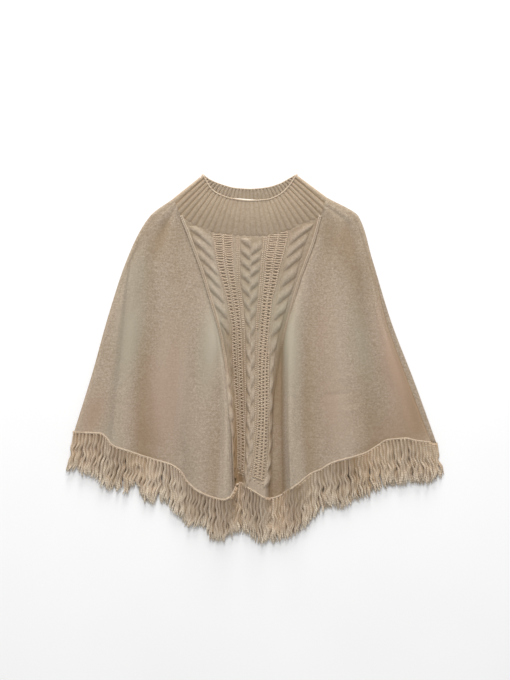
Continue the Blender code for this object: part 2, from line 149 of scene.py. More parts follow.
def points_at(at, places, rows):
    """Rows of a table, read in between at some places."""
    return np.stack([np.interp(at, places, column) for column in rows.T], axis=-1)


def plan_curve(points, share):
    """Points at shares 0 to 1 of the way along a smooth outline."""
    points = np.asarray(points, float)
    travelled = lengths(points)
    return smooth(travelled / travelled[-1], points, share)


def unit(vectors):
    return vectors / np.maximum(np.linalg.norm(vectors, axis=-1, keepdims=True), 1e-9)


def height_on(outline, x):
    """y of an outline at x."""
    xs, ys = np.asarray(outline, float).T
    return smooth(xs, ys, x)


def on_outline(outline, x):
    """Plan points of an outline at x."""
    return np.stack((x, height_on(outline, x)), axis=1)


def side_line(line_x, share, hem):
    """Plan points and inward normals down a side edge, from the neck seam to the hem."""
    start = np.asarray(NECK_SEAM[0 if line_x[-1] < 0 else -1], float)
    x = smooth(DOWN, (start[0],) + tuple(line_x), share)
    foot = height_on(hem, np.array([line_x[-1]], float))[0]
    edge = np.stack((x, start[1] + (foot - start[1]) * share), axis=1)
    along = unit(np.gradient(edge, axis=0))
    inward = np.stack((-along[:, 1], along[:, 0]), axis=1)
    return edge, inward * (1.0 if line_x[-1] < 0 else -1.0)


def front_surface(columns, rows):
    """The middle of the front's cloth, as the CAD has it, and the places of its columns on the seam.

    A column from 0 to LAST_LINE lies on or between the lines of the table. Columns -1 to 0 and
    LAST_LINE to LAST_LINE + 1 are the rolled sides, which turn down to meet the back.
    """
    seam_place = np.array([line[1] for line in LINES]) / SEAM_LENGTH
    seam_points = plan_curve(NECK_SEAM, seam_place)
    line_x = np.array([(start[0],) + line[2] for start, line in zip(seam_points, LINES)])
    line_z = np.array([line[3] for line in LINES])
    x = smooth(DOWN, line_x.T, rows)
    foot = height_on(HEM, line_x[:, -1])
    y = seam_points[:, 1] + (foot - seam_points[:, 1]) * rows[:, None]
    z = smooth(DOWN, line_z.T, rows)

    fine = np.linspace(0.0, 1.0, 201)
    edges = {}
    for index in (0, LAST_LINE):
        edge, inward = (points_at(rows, fine, part) for part in side_line(LINES[index][2], fine, HEM))
        edges[index] = (edge, unit(inward))
        x[:, index], y[:, index] = (edge + unit(inward) * SIDE_ROLL).T

    inner = np.clip(columns, 0, LAST_LINE)
    knots = np.arange(len(LINES))
    grid = np.stack([smooth(knots, part.T, inner).T for part in (x, y, z)], axis=2)
    seam_at = smooth(knots, seam_place, inner) * SEAM_LENGTH
    for index, rolled in ((0, columns < 0), (LAST_LINE, columns > LAST_LINE)):
        roll = 1 - np.abs(columns[rolled] - index)
        turn = roll * np.pi / 2
        inset = SIDE_ROLL * (1 - np.cos(turn)) + CLOTH / 2 * (1 - roll)
        edge, inward = edges[index]
        grid[:, rolled, :2] = edge[:, None] + inward[:, None] * inset[None, :, None]
        grid[:, rolled, 2] = FRONT_FOOT + (z[:, index, None] - FRONT_FOOT) * np.sin(turn)
        seam_at[rolled] = inset if index == 0 else SEAM_LENGTH - inset

    to_seam = plan_curve(NECK_SEAM, seam_at / SEAM_LENGTH) - grid[0, :, :2]
    grid[:, :, :2] += to_seam[None] * part_way(rows, DOWN[1], 0)[:, None, None] ** 2
    to_hem = on_outline(HEM, grid[-1, :, 0]) - grid[-1, :, :2]
    grid[:, :, :2] += to_hem[None] * rows[:, None, None]
    return grid, seam_at


def collar_surface(seam_at, rows, seam, edge, height, crown):
    """The middle of a neck piece, from its top edge down to the seam, in the seam's columns."""
    share = seam_at / SEAM_LENGTH
    top = plan_curve(edge, share)
    plan = top[None] + (plan_curve(seam, share) - top)[None] * rows[:, None, None]
    z = height + crown * np.sin(np.pi * rows)[:, None]
    return np.concatenate((plan, np.broadcast_to(z, plan.shape[:2])[:, :, None]), axis=2)


def side_rounding(seam_at):
    """0 at the two side edges, rounding up to 1 at SIDE_ROLL in from them."""
    inset = np.minimum(np.minimum(seam_at, SEAM_LENGTH - seam_at), SIDE_ROLL)
    return np.sqrt(1 - (1 - inset / SIDE_ROLL) ** 2)


def normals_of(grid):
    return unit(np.cross(np.gradient(grid, axis=0), np.gradient(grid, axis=1)))


def blurred(field, reach):
    """A field smoothed by a box of reach cells either way, three times."""
    size = 2 * reach + 1
    for _ in range(2):      # down the field, then across it
        for _ in range(3):
            total = np.cumsum(np.pad(field, ((reach + 1, reach), (0, 0)), mode="edge"), axis=0)
            field = (total[size:] - total[:-size]) / size
        field = field.T
    return field


CREASE_BEND = 4.0
# Small creases: where they lie (x, y), their direction from +X in degrees, half length, half width, height
CREASES = (
    (-212, 288, 118, 34, 14, -0.3), (-188, 262, 100, 42, 8, 0.8), (-228, 240, 60, 30, 10, 0.6),
    (-150, 262, 68, 36, 7, -1.0), (-128, 190, 74, 48, 8, 0.9), (-176, 150, 84, 60, 14, 1.0),
    (-262, 120, 78, 46, 8, -0.9), (-205, 40, 88, 70, 12, 0.9), (-330, -60, 74, 44, 9, 1.4),
    (-352, -120, 70, 36, 7, -1.2), (-212, -150, 86, 46, 10, 1.2), (-165, -190, 82, 38, 8, -1.3),
    (-100, -232, 88, 44, 9, -1.2), (-140, -60, 80, 52, 8, -0.9), (184, 319, -38, 36, 9, 0.9),
    (186, 262, 82, 44, 8, 1.1), (236, 236, 112, 30, 10, 1.0), (150, 250, 112, 38, 7, -1.0),
    (126, 190, 104, 46, 8, 0.9), (262, 120, 104, 50, 9, -0.9), (160, 40, 92, 66, 10, 0.9),
    (206, -40, 12, 34, 7, 0.8), (180, -78, 8, 38, 6, -0.7), (214, -110, 14, 30, 7, 0.8),
    (300, -40, 108, 48, 9, 1.2), (338, -120, 110, 40, 8, -1.2), (220, -170, 84, 36, 9, 1.2),
    (160, -190, 98, 34, 8, -1.2),
)
# Where the yarn's colour leans to grey-green, above 0, or to rose, below 0, laid out as the creases are
TINTS = (
    (-282, 45, 79, 95, 30, 1.0), (-318, -170, 85, 45, 28, 0.4), (-245, -10, 85, 100, 30, 0.3),
    (-96, 45, 82, 66, 28, 0.85), (-118, -40, 84, 60, 28, 0.45), (-100, 165, 60, 30, 20, 0.4),
    (0, 140, 90, 125, 70, 0.4), (40, 90, 90, 90, 40, 0.2), (73, 25, 92, 88, 22, 0.9),
    (140, 0, 92, 70, 30, 0.2), (-261, 196, 75, 50, 30, 0.3), (236, 30, 100, 110, 26, 0.6),
    (-205, -70, 84, 150, 70, -0.75), (150, 10, 92, 120, 36, -0.55), (180, -130, 92, 80, 40, -0.55),
    (318, -40, 108, 150, 40, -1.0), (300, -170, 90, 50, 50, -0.5), (-356, -117, 74, 50, 26, -0.7),
    (-307, 10, 76, 60, 16, -0.35), (-60, 330, 0, 60, 30, 0.3), (40, 330, 0, 90, 30, 0.3),
)
# Painted shade and painted light: patches where the cloth is painted darker or lighter than its folds make it
SHADES = (
    (326, -20, 108, 160, 38, -0.62), (345, -160, 100, 60, 46, -0.50), (-245, -165, 160, 60, 20, -0.15),
    (0, 300, 0, 190, 50, -0.12), (-200, 270, 60, 60, 36, -0.40), (185, 255, 110, 100, 40, -0.70),
    (238, 190, 105, 60, 26, -0.2), (-92, 80, 88, 90, 17, 0.75), (-80, 210, 88, 60, 26, 0.5),
    (-26, -80, 90, 190, 15, -0.62), (7, -110, 90, 170, 15, -0.60), (44, -210, 90, 95, 15, 0.60),
    (75, 60, 92, 80, 14, 0.25), (-255, 90, 85, 60, 26, 0.45), (-215, -30, 85, 90, 22, 0.40),
    (-158, -60, 88, 120, 16, 0.4), (235, 20, 98, 90, 22, 0.35), (-332, 30, 76, 60, 17, -0.25),
    (-356, -130, 74, 60, 24, -0.35), (50, 200, 100, 40, 20, -0.2), (-43, -175, 90, 90, 9, -0.4),
    (272, -190, 20, 90, 12, -0.35), (-240, -215, -15, 60, 10, -0.3), (184, 319, -38, 34, 9, 0.4),
    (-74, 112, 100, 36, 13, 0.45), (86, 138, 75, 42, 13, 0.45), (-106, 248, 110, 42, 15, 0.35),
    (-175, 195, 85, 70, 28, -0.22), (-307, 10, 76, 70, 16, -0.3), (352, -30, 108, 110, 18, -0.3),
    (-250, 250, 60, 50, 24, -0.2), (335, 60, 108, 150, 26, -0.25), (-292, 100, 76, 110, 20, -0.12),
    (325, -135, 100, 70, 40, -0.4), (296, -30, 108, 60, 20, -0.25), (258, 130, 108, 60, 16, -0.25),
)
# Painted shade where the fold over the panel's left edge shades the knitting under it
VALLEY_SHADE = ((-46, -200, 88, 95, 9, -0.9),)


def soft_patches(patches, x, y, bend=0.0):
    """The sum at x, y of soft long patches. bend curves each along its length."""
    total = np.zeros(np.shape(x))
    for middle_x, middle_y, angle, length, width, amount in patches:
        turn = math.radians(angle)
        along = ((x - middle_x) * math.cos(turn) + (y - middle_y) * math.sin(turn)) / length
        across = (y - middle_y) * math.cos(turn) - (x - middle_x) * math.sin(turn) - bend * along ** 2
        total += amount * np.exp(-along ** 2 - (across / width) ** 2)
    return total


class Cloth:
    """The front's heights over the plan, in millimetres, to place details on it, and its painted highlight
    and shade.
    """

    LEFT, RIGHT, TOP, BOTTOM = -425.0, 425.0, 365.0, -315.0
    FOLD_REACH = 24
    FOLD_GAIN = 0.8         # how much the folds are deepened
    FULL_SHADE = 4.5        # a fold this high or deep has its full painted highlight or painted shade
    RIM_REACH = 12          # how far in from the shoulders' edges the folds are softened
    RIM_GAIN = 2.5
    SHOULDERS = (120, 200)  # the softening starts and is full at these y
    LOWEST, HIGHEST = 5.4, 35.0
    SOFT_FLOOR = 1.2        # how softly the folds come to rest at the lowest height

    def __init__(self):
        grid, _ = front_surface(np.linspace(-1, LAST_LINE + 1, 901), np.linspace(0, 1, 601))
        xs = np.arange(self.LEFT, self.RIGHT + 1)
        ys = np.arange(self.BOTTOM, self.TOP + 1)
        row_y, row_z = (np.stack([np.interp(xs, row[:, 0], row[:, axis]) for row in grid]) for axis in (1, 2))
        plain = np.stack([np.interp(ys, row_y[::-1, i], row_z[::-1, i]) for i in range(len(xs))], axis=1)
        x, y = np.meshgrid(xs, ys)
        rim = blurred((plain < SIDE_ROLL + 2).astype(float), self.RIM_REACH) * part_way(y, *self.SHOULDERS)
        fold = (plain - blurred(plain, self.FOLD_REACH)) * np.clip(1 - self.RIM_GAIN * rim, 0, 1)
        # painted highlight on the folds' crests and painted shade in their hollows, with the painted patches
        # of SHADES
        self.crest = np.clip(fold / self.FULL_SHADE, -1, 0.45) + soft_patches(SHADES, x, y)
        self.tint = soft_patches(TINTS, x, y)
        full = plain + self.FOLD_GAIN * fold + soft_patches(CREASES, x, y, CREASE_BEND)
        above = (full - self.LOWEST) / self.SOFT_FLOOR
        low = self.LOWEST + self.SOFT_FLOOR * np.log1p(np.exp(above))
        full = np.minimum(np.where(above < 10, low, full), self.HIGHEST)
        self.lift = (full - plain) * part_way(plain, SIDE_ROLL, SIDE_ROLL + 2)
        self.heights = plain + self.lift
        rise_y, rise_x = np.gradient(self.heights)
        self.normals = unit(np.stack((-rise_x, -rise_y, np.ones_like(rise_x)), axis=2))

    def read(self, field, x, y):
        """A field of the plan at x, y."""
        across = np.clip(np.asarray(x) - self.LEFT, 0, field.shape[1] - 1.001)
        up = np.clip(np.asarray(y) - self.BOTTOM, 0, field.shape[0] - 1.001)
        c, r = across.astype(int), up.astype(int)
        a, d = across - c, up - r
        if field.ndim == 3:
            a, d = a[..., None], d[..., None]
        lower = field[r, c] * (1 - a) + field[r, c + 1] * a
        upper = field[r + 1, c] * (1 - a) + field[r + 1, c + 1] * a
        return lower * (1 - d) + upper * d

    def fields(self, x, y, crest=0.0, least=-2.0):
        """The painted highlight and shade of the cloth at x, y, no darker than least, plus crest, and how its
        colour leans.
        """
        high = np.maximum(self.read(self.crest, x, y), least) + crest
        return {"crest": high, "tint": self.read(self.tint, x, y)}

    def on(self, x, y, lift=0.0):
        """Points lifted off the cloth's middle at x, y, and the cloth's normals there."""
        normals = unit(self.read(self.normals, x, y))
        points = np.stack(np.broadcast_arrays(x, y, self.read(self.heights, x, y)), axis=-1)
        return points + normals * np.broadcast_to(lift, points.shape[:-1])[..., None], normals

    def front(self, columns, rows):
        """The middle of the front's cloth over its lines and stations, with its creases."""
        grid, _ = front_surface(columns, rows)
        grid[:, :, 2] += self.read(self.lift, grid[:, :, 0], grid[:, :, 1])
        return grid


cloth = Cloth()

# --- meshes -------------------------------------------------------------------


def make_mesh(name, points, quads, uv=None, fields=None, caps=()):
    """A smooth mesh from arrays, in millimetres. uv and fields have a row or value for each point."""
    points = (np.asarray(points, float) + (CENTRING, 0, 0)) * METRES
    loops = np.asarray(quads).reshape(-1)
    sizes = np.full(len(quads), 4)
    if len(caps):
        loops = np.concatenate([loops] + [np.asarray(cap) for cap in caps])
        sizes = np.concatenate((sizes, [len(cap) for cap in caps]))
    mesh = bpy.data.meshes.new(name)
    mesh.vertices.add(len(points))
    mesh.vertices.foreach_set("co", points.reshape(-1))
    mesh.loops.add(len(loops))
    mesh.loops.foreach_set("vertex_index", loops.astype(np.int32))
    mesh.polygons.add(len(sizes))
    mesh.polygons.foreach_set("loop_start", np.concatenate(([0], np.cumsum(sizes)[:-1])).astype(np.int32))
    mesh.update(calc_edges=True)
    if uv is not None:
        layer = mesh.uv_layers.new(name="Knit")
        layer.data.foreach_set("uv", (np.asarray(uv, float) * METRES)[loops].reshape(-1))
    for field, values in (fields or {}).items():
        attribute = mesh.attributes.new(field, "FLOAT", "POINT")
        attribute.data.foreach_set("value", np.asarray(values, float).reshape(-1))
    mesh.validate()
    mesh.shade_smooth()
    piece = bpy.data.objects.new(name, mesh)
    bpy.context.scene.collection.objects.link(piece)
    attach(piece, "root")
    return piece


def grid_quads(index):
    """Quads between the rows and columns of a grid of point numbers."""
    return np.stack((index[:-1, :-1], index[1:, :-1], index[1:, 1:], index[:-1, 1:]), axis=-1).reshape(-1, 4)


def sheet_faces(rows, columns):
    """Quads of the two sides and the rim of a closed sheet."""
    index = np.arange(rows * columns).reshape(rows, columns)
    under = index + index.size
    rim = np.concatenate((index[0, :-1], index[:-1, -1], index[-1, :0:-1], index[:0:-1, 0]))
    after = np.roll(rim, -1)
    side = np.stack((rim, after, after + index.size, rim + index.size), axis=-1)
    return np.concatenate((grid_quads(index), grid_quads(under)[:, [0, 3, 2, 1]], side))


def make_sheet(name, grid, normals, thickness, uv, relief=0.0, fields=None):
    """A closed sheet about a grid of middle points. relief lifts the upper face only."""
    half = normals * thickness / 2
    top = grid + half + normals * (relief[..., None] if np.ndim(relief) else relief)
    points = np.concatenate((top.reshape(-1, 3), (grid - half).reshape(-1, 3)))
    uv = np.concatenate((uv.reshape(-1, 2),) * 2)
    doubled = {key: np.concatenate((value.reshape(-1),) * 2) for key, value in (fields or {}).items()}
    return make_mesh(name, points, sheet_faces(*grid.shape[:2]), uv, doubled)


GIRTH = 2.5     # the way round a strand, as a share of its width


def make_strands(name, centres, ups, widths, heights, sides, tones=None):
    """Many tubes in one mesh. centres and ups are strands by rings by 3; widths and heights are full sizes.

    ups point out of the cloth. uv runs round each strand, then along it, in millimetres.
    """
    strands, rings = centres.shape[:2]
    along = unit(np.gradient(centres, axis=1))
    side = unit(np.cross(ups, along))
    up = np.cross(along, side)
    turns = np.arange(sides) * 2 * np.pi / sides
    points = (centres[:, :, None]
              + side[:, :, None] * (np.cos(turns) * widths[..., None] / 2)[..., None]
              + up[:, :, None] * (np.sin(turns) * heights[..., None] / 2)[..., None])
    index = np.arange(strands * rings * sides).reshape(strands, rings, sides)
    after = np.roll(index, -1, axis=2)
    quads = np.stack((index[:, :-1], after[:, :-1], after[:, 1:], index[:, 1:]), axis=-1).reshape(-1, 4)
    caps = [*index[:, 0, ::-1], *index[:, -1]]
    around = turns / (2 * np.pi) * widths[..., None] * GIRTH
    uv = np.stack((around, np.broadcast_to(lengths(centres)[..., None], around.shape)), axis=-1)
    fields = {} if tones is None else {"tone": np.broadcast_to(np.asarray(tones)[..., None], around.shape)}
    return make_mesh(name, points.reshape(-1, 3), quads, uv.reshape(-1, 2), fields, caps)


# --- materials ------------------------------------------------------------------


class Nodes:
    """Short ways to add shader nodes."""

    def __init__(self, name):
        self.material = bpy.data.materials.new(name)
        self.material.use_nodes = True
        self.tree = self.material.node_tree
        self.shader = self.tree.nodes["Principled BSDF"]

    def add(self, kind, inputs=None, **settings):
        node = self.tree.nodes.new(kind)
        for key, value in settings.items():
            setattr(node, key, value)
        for key, value in (inputs or {}).items():
            self.put(value, node.inputs[key])
        return node

    def put(self, value, socket):
        if isinstance(value, bpy.types.NodeSocket):
            self.tree.links.new(value, socket)
        else:
            socket.default_value = value

    def math(self, operation, *values, clamp=False):
        node = self.add("ShaderNodeMath", operation=operation, use_clamp=clamp)
        for value, socket in zip(values, node.inputs):
            self.put(value, socket)
        return node.outputs[0]

    def noise(self, scale, stretch=(1, 1, 1), detail=2.0, rough=0.5):
        where = self.add("ShaderNodeTexCoord").outputs["Object"]
        mapped = self.add("ShaderNodeMapping", {"Vector": where, "Scale": stretch})
        texture = self.add("ShaderNodeTexNoise", {"Vector": mapped.outputs[0], "Scale": scale,
                                                  "Detail": detail, "Roughness": rough})
        return texture.outputs["Fac"]

    def mix(self, factor, *colours):
        node = self.add("ShaderNodeMix", data_type="RGBA")
        self.put(factor, node.inputs[0])
        for colour, socket in zip(colours, (node.inputs[6], node.inputs[7])):
            self.put(colour if isinstance(colour, bpy.types.NodeSocket) else (*colour, 1), socket)
        return node.outputs[2]

    def between(self, value, low, high, first, second):
        """A colour that goes from first, where value is low, to second, where it is high."""
        share = self.math("DIVIDE", self.math("SUBTRACT", value, low), high - low, clamp=True)
        return self.mix(share, first, second)

    def lean(self, base, value, above, below, up, down):
        """A colour that leans to above by up times value, and to below by down times a value under 0."""
        base = self.mix(self.math("MULTIPLY", value, up, clamp=True), base, above)
        return self.mix(self.math("MULTIPLY", value, -down, clamp=True), base, below)

    def field(self, name):
        return self.add("ShaderNodeAttribute", attribute_name=name).outputs["Fac"]

    def knit_place(self):
        """Across and down the knitting, or round and along a yarn."""
        where = self.add("ShaderNodeUVMap", uv_map="Knit").outputs[0]
        return self.add("ShaderNodeSeparateXYZ", {"Vector": where}).outputs[:2]

    def finish(self, base, inputs, relief=None, strength=0.0, depth=0.0):
        """The material, with its colour, the other inputs of its shader and its relief, depth metres deep."""
        self.put(base, self.shader.inputs["Base Color"])
        for key, value in inputs.items():
            self.put(value, self.shader.inputs[key])
        if relief:
            bump = self.add("ShaderNodeBump", {"Height": relief, "Strength": strength, "Distance": depth})
            self.put(bump.outputs[0], self.shader.inputs["Normal"])
        return self.material


WALE = 2.7 * METRES      # width of one stitch
COURSE = 2.1 * METRES    # height of one stitch
LEG_SLANT = 0.9          # how far a stitch's leg climbs from the middle of its wale to the side, in courses


def stitch_height(n, wale=1.0, course=1.0):
    """Rows of V stitches: two slanted legs in each wale. wale and course are shares of a plain stitch's."""
    x, y = n.knit_place()
    across = n.math("FRACT", n.math("DIVIDE", x, WALE * wale))
    leg = n.math("MULTIPLY", n.math("ABSOLUTE", n.math("SUBTRACT", across, 0.5)), 2.0)
    down = n.math("DIVIDE", y, COURSE * course)
    slant = n.math("FRACT", n.math("ADD", down, n.math("MULTIPLY", leg, LEG_SLANT)))
    crown = n.math("SINE", n.math("MULTIPLY", leg, math.pi))
    bead = n.math("SINE", n.math("MULTIPLY", slant, math.pi))
    return n.math("MULTIPLY", crown, n.math("ADD", 0.3, n.math("MULTIPLY", bead, 0.7)))


def ply_height(n, pitch=4.0):
    """Slanting plies round a yarn, pitch millimetres apart."""
    turn = n.math("DIVIDE", n.math("ADD", *n.knit_place()), pitch * METRES)
    wave = n.math("SINE", n.math("MULTIPLY", turn, 2 * math.pi))
    return n.math("ADD", 0.5, n.math("MULTIPLY", wave, 0.5))


# OATMEAL_DEEP is also the colour of painted shade in folds and at the fringe's roots, OATMEAL_LIGHT of
# painted highlight on crests
OATMEAL_DEEP = (0.355, 0.230, 0.122)
OATMEAL_DARK = (0.375, 0.280, 0.195)
OATMEAL_ROSE = (0.575, 0.395, 0.290)
OATMEAL_WARM = (0.560, 0.427, 0.315)
OATMEAL = (0.550, 0.435, 0.318)
OATMEAL_GREY = (0.515, 0.470, 0.345)
OATMEAL_LIGHT = (0.760, 0.665, 0.530)


EVEN = (30, 30, 30)          # how fine the streaks of the dye are along x, y and z
FINE = (160, 160, 160)
GRAIN_GAIN = 3.4             # how strongly single fibres lean to a lighter or darker tint
STREAK_GAIN = 1.5
TONE_GAIN = 0.6
FURROW_SHADE = (0.55, 0.6)         # the relief under which the wool is painted darker, a painted shade in the knit's furrows, and how strongly
TINT_GAIN = 0.9
PAINTED_LIGHT_GAINS = (0.45, 0.75)   # how strongly the painted highlight lightens the crests and the painted shade darkens the hollows
FUZZ = 0.35


def wool(name, height, depth, lighten=0.0, tone=None, crest=False, streak=EVEN, fleck=1.0):
    """Heathered wool: fibres of several tints, a rounded knit or ply relief with painted shade in its
    furrows, and a soft sheen.

    tone is the colour that a yarn's own tone leans to where it is below 0. With crest, the wool also takes
    painted highlight and painted shade from its crest field.
    """
    n = Nodes(name)
    base = n.between(n.noise(9, detail=3.0), 0.36, 0.64, OATMEAL_WARM, OATMEAL)
    grain = n.math("SUBTRACT", n.noise(260, detail=4.0, rough=0.8), 0.5)
    base = n.lean(base, grain, OATMEAL_LIGHT, OATMEAL_DARK, GRAIN_GAIN * fleck, GRAIN_GAIN * fleck)
    streaks = n.math("SUBTRACT", n.noise(1.0, stretch=streak, detail=4.0, rough=0.65), 0.5)
    base = n.lean(base, streaks, OATMEAL_LIGHT, OATMEAL_DARK, STREAK_GAIN, STREAK_GAIN)
    if tone:
        base = n.lean(base, n.field("tone"), OATMEAL_LIGHT, tone, TONE_GAIN, TONE_GAIN)
    relief = height(n)
    # painted shade: the wool is painted darker where the stitch or ply relief is low
    furrow = n.math("MULTIPLY", n.math("SUBTRACT", FURROW_SHADE[0], relief), FURROW_SHADE[1], clamp=True)
    base = n.mix(furrow, base, OATMEAL_DARK)
    if crest:
        base = n.lean(base, n.field("tint"), OATMEAL_GREY, OATMEAL_ROSE, TINT_GAIN, TINT_GAIN)
        # painted highlight and painted shade: the crest field lightens raised cloth and darkens its folds and
        # hollows
        base = n.lean(base, n.field("crest"), OATMEAL_LIGHT, OATMEAL_DEEP, *PAINTED_LIGHT_GAINS)
    if lighten:
        base = n.mix(abs(lighten), base, OATMEAL_LIGHT if lighten > 0 else OATMEAL_DARK)
    fuzzy = n.math("ADD", relief, n.math("MULTIPLY", n.noise(1400), FUZZ))
    return n.finish(base, {"Roughness": 0.95, "Specular IOR Level": 0.15, "Sheen Weight": 0.12,
                           "Sheen Roughness": 0.6, "Sheen Tint": (0.9, 0.75, 0.58, 1)}, fuzzy, 0.9, depth)


plain_knit = wool("plain_knit", stitch_height, 0.0012, crest=True, streak=(60, 330, 100), fleck=1.6)
cable_ground = wool("cable_ground", stitch_height, 0.0010, crest=True, streak=FINE)
cable_twist = wool("cable_twist", lambda n: stitch_height(n, 1.2, 1.2), 0.0015, crest=True, streak=FINE)
# painted shade: the yarn of the ladders' bars and the back neck's rim, and more lightly that of the stitches,
# is painted darker
bar_yarn_painted_shade = wool("bar_yarn_painted_shade", ply_height, 0.0006, lighten=-0.40, tone=OATMEAL_DARK)
chain_yarn = wool("chain_yarn", ply_height, 0.0006, lighten=-0.06, tone=OATMEAL_DARK)
# painted shade: the ribbing's wool is painted darker than the panels'
rib_knit = wool("rib_knit", lambda n: stitch_height(n, 0.9), 0.0009, lighten=-0.26, crest=True, streak=FINE)
edging_yarn = wool("edging_yarn", ply_height, 0.0009, lighten=-0.08)
fringe_yarn = wool("fringe_yarn", lambda n: ply_height(n, 5.0), 0.0005, lighten=-0.03, tone=OATMEAL_DEEP,
                   streak=(200, 60, 100), fleck=0.6)


def label_material():
    n = Nodes("label_tape")
    weave = n.noise(1.0, stretch=(3000, 400, 400), detail=1.0)
    base = n.between(weave, 0.3, 0.7, (0.66, 0.62, 0.53), (0.80, 0.77, 0.68))
    return n.finish(base, {"Roughness": 0.6, "Sheen Weight": 0.2}, weave, 0.5, 0.0003)


def finish_piece(piece, material, node=None):
    piece.data.materials.append(material)
    if node:
        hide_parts(node)
    return piece


def sheet_area(grid):
    """Area of a grid of points, in square metres."""
    a = grid[1:, 1:] - grid[:-1, :-1]
    b = grid[1:, :-1] - grid[:-1, 1:]
    return float(np.linalg.norm(np.cross(a, b), axis=2).sum() / 2 * METRES ** 2)


def flat_uv(grid):
    """Cloth coordinates: distance across from the middle column, and distance down, in millimetres."""
    across = lengths(grid)
    middle = grid.shape[1] // 2
    across += (grid[:, middle, 0] - across[:, middle])[:, None]
    return np.stack((across, -grid[:, :, 1]), axis=2)


def even_columns(first, last, count, station=0.6):
    """Line places from first to last whose distances apart are even at one station."""
    fine = np.linspace(first, last, 1500)
    travelled = lengths(cloth.front(fine, np.array([station - 0.05, station]))[-1])
    return np.interp(np.linspace(0, travelled[-1], count), travelled, fine)


# --- plain panels ---------------------------------------------------------------
PANEL_COLUMNS, PANEL_ROWS = 126, 196


def add_panel(name, first, last, node):
    grid = cloth.front(even_columns(first, last, PANEL_COLUMNS), np.linspace(0, 1, PANEL_ROWS))
    panel = make_sheet(name, grid, normals_of(grid), CLOTH, flat_uv(grid),
                       fields=cloth.fields(grid[:, :, 0], grid[:, :, 1]))
    finish_piece(panel, plain_knit, node)
    return panel, sheet_area(grid)


left_panel, left_area = add_panel("left_front", -1, LEFT_BORDER, "front_left_panel")
right_panel, right_area = add_panel("right_front", RIGHT_BORDER, LAST_LINE + 1, "front_right_panel")

# --- cable panel ------------------------------------------------------------------
# Lines down the panel, (x, y) from the neck to the hem
LADDERS = (
    ((-82.1, 276), (-81.7, 268), (-78.6, 222), (-72, 187), (-63.2, 152), (-54.4, 112), (-47.8, 64),
     (-46.7, 20), (-43.4, -46), (-40.6, -100), (-38.2, -150), (-37, -200), (-37.2, -254)),
    ((-63.6, 274), (-63.2, 268), (-58.8, 222), (-55.5, 196), (-47.8, 150), (-41.2, 108), (-36.1, 53),
     (-35, 20), (-32.4, -46), (-30.4, -100), (-28.6, -150), (-27.6, -200), (-28, -263)),
    ((41, 275), (40.2, 271), (35.8, 251), (31.4, 229), (28.1, 207), (24.8, 174), (20.4, 145), (18.2, 119),
     (14.9, 86), (12.7, 53), (9.4, 9), (8.3, -35), (8.3, -79), (8.6, -112), (6.4, -156), (2.6, -200),
     (-0.4, -244), (-4, -271)),
    ((60, 280), (58.9, 275), (55.6, 251), (51.2, 229), (43.5, 196), (36.9, 158), (29.9, 130), (28.1, 108),
     (24.8, 75), (21.5, 42), (18.2, -2), (16, -46), (16, -90), (14.4, -156), (10.6, -222), (5.2, -275)),
    ((24.6, 16), (23.4, -20), (22.8, -90), (21.6, -156), (18.6, -222), (14, -277)),
)
LADDER_DEPTH = 1.5
LADDER_SHADE = 0.3      # painted shade: how much darker the bottom of a ladder's channel is painted
PANEL_FLOOR = 6.5       # the channels sink the panel's middle no lower than this
PANEL_PAINTED_SHADE = -0.10      # painted shade: how much darker than the plain panels it is painted
PANEL_LEAST = -1.2      # the darkest that the painted shade of the folds makes it
# At y: half the width of a ladder, the distance from bar to bar, and a bar's share of that distance
LADDER_HALF = ((-320, 1.6), (42, 1.9), (130, 2.7), (185, 4.2), (222, 6.0), (268, 8.6))
BAR_PITCH = ((-320, 7.3), (150, 7.3), (190, 6.8), (222, 5.8), (240, 4.9), (275, 4.8))
BAR_SHARE = ((-320, 0.56), (60, 0.56), (200, 0.66), (225, 0.80), (275, 0.88))
MIDDLE_LEFT_EDGE = ((-34.6, 269), (-34.6, 213), (-33.5, 163), (-29.1, 130), (-23.6, 64), (-21.4, -90),
                    (-22.1, -178), (-26.2, -266), (-27, -282))
MIDDLE_RIGHT_EDGE = ((16, 271), (11.6, 222), (9.4, 196), (6.1, 152), (2.8, 119), (-0.9, 64), (-1.6, -90),
                     (-3.8, -178), (-12.6, -255), (-16, -284))
LEFT_CABLE_LEFT = ((-150, 296), (-143.4, 279), (-133.7, 240), (-118.2, 200), (-105, 156), (-96.2, 125),
                   (-86.3, 86), (-77.5, 53), (-70.9, 15), (-67.6, -24), (-63.2, -79), (-57.7, -134),
                   (-52.2, -189), (-50, -230), (-48.5, -270))
LEFT_CABLE_RIGHT = ((-98.4, 284), (-92.9, 255), (-89.6, 222), (-81.9, 189), (-75.3, 158), (-67.6, 125),
                    (-59.9, 86), (-54.4, 42), (-51.0, -2), (-48.5, -46), (-45.5, -90), (-42.5, -134),
                    (-42, -189), (-42, -230), (-42, -270))
RIGHT_CABLE_LEFT = ((86.4, 294), (75.4, 266), (68.8, 240), (62.2, 213), (56.7, 185), (51.2, 156),
                    (43.5, 123), (36.9, 86), (32.5, 53), (30.3, -2), (28.1, -90), (27, -178), (21.5, -244),
                    (11.6, -288))
RIGHT_CABLE_RIGHT = ((134, 304), (121.6, 286), (109.5, 255), (100.7, 227), (93, 200), (85.3, 169),
                     (73.2, 134), (63.3, 99), (53.4, 64), (43.5, 20), (38, -35), (35.8, -90), (34.3, -178),
                     (32.5, -244), (29.2, -284))
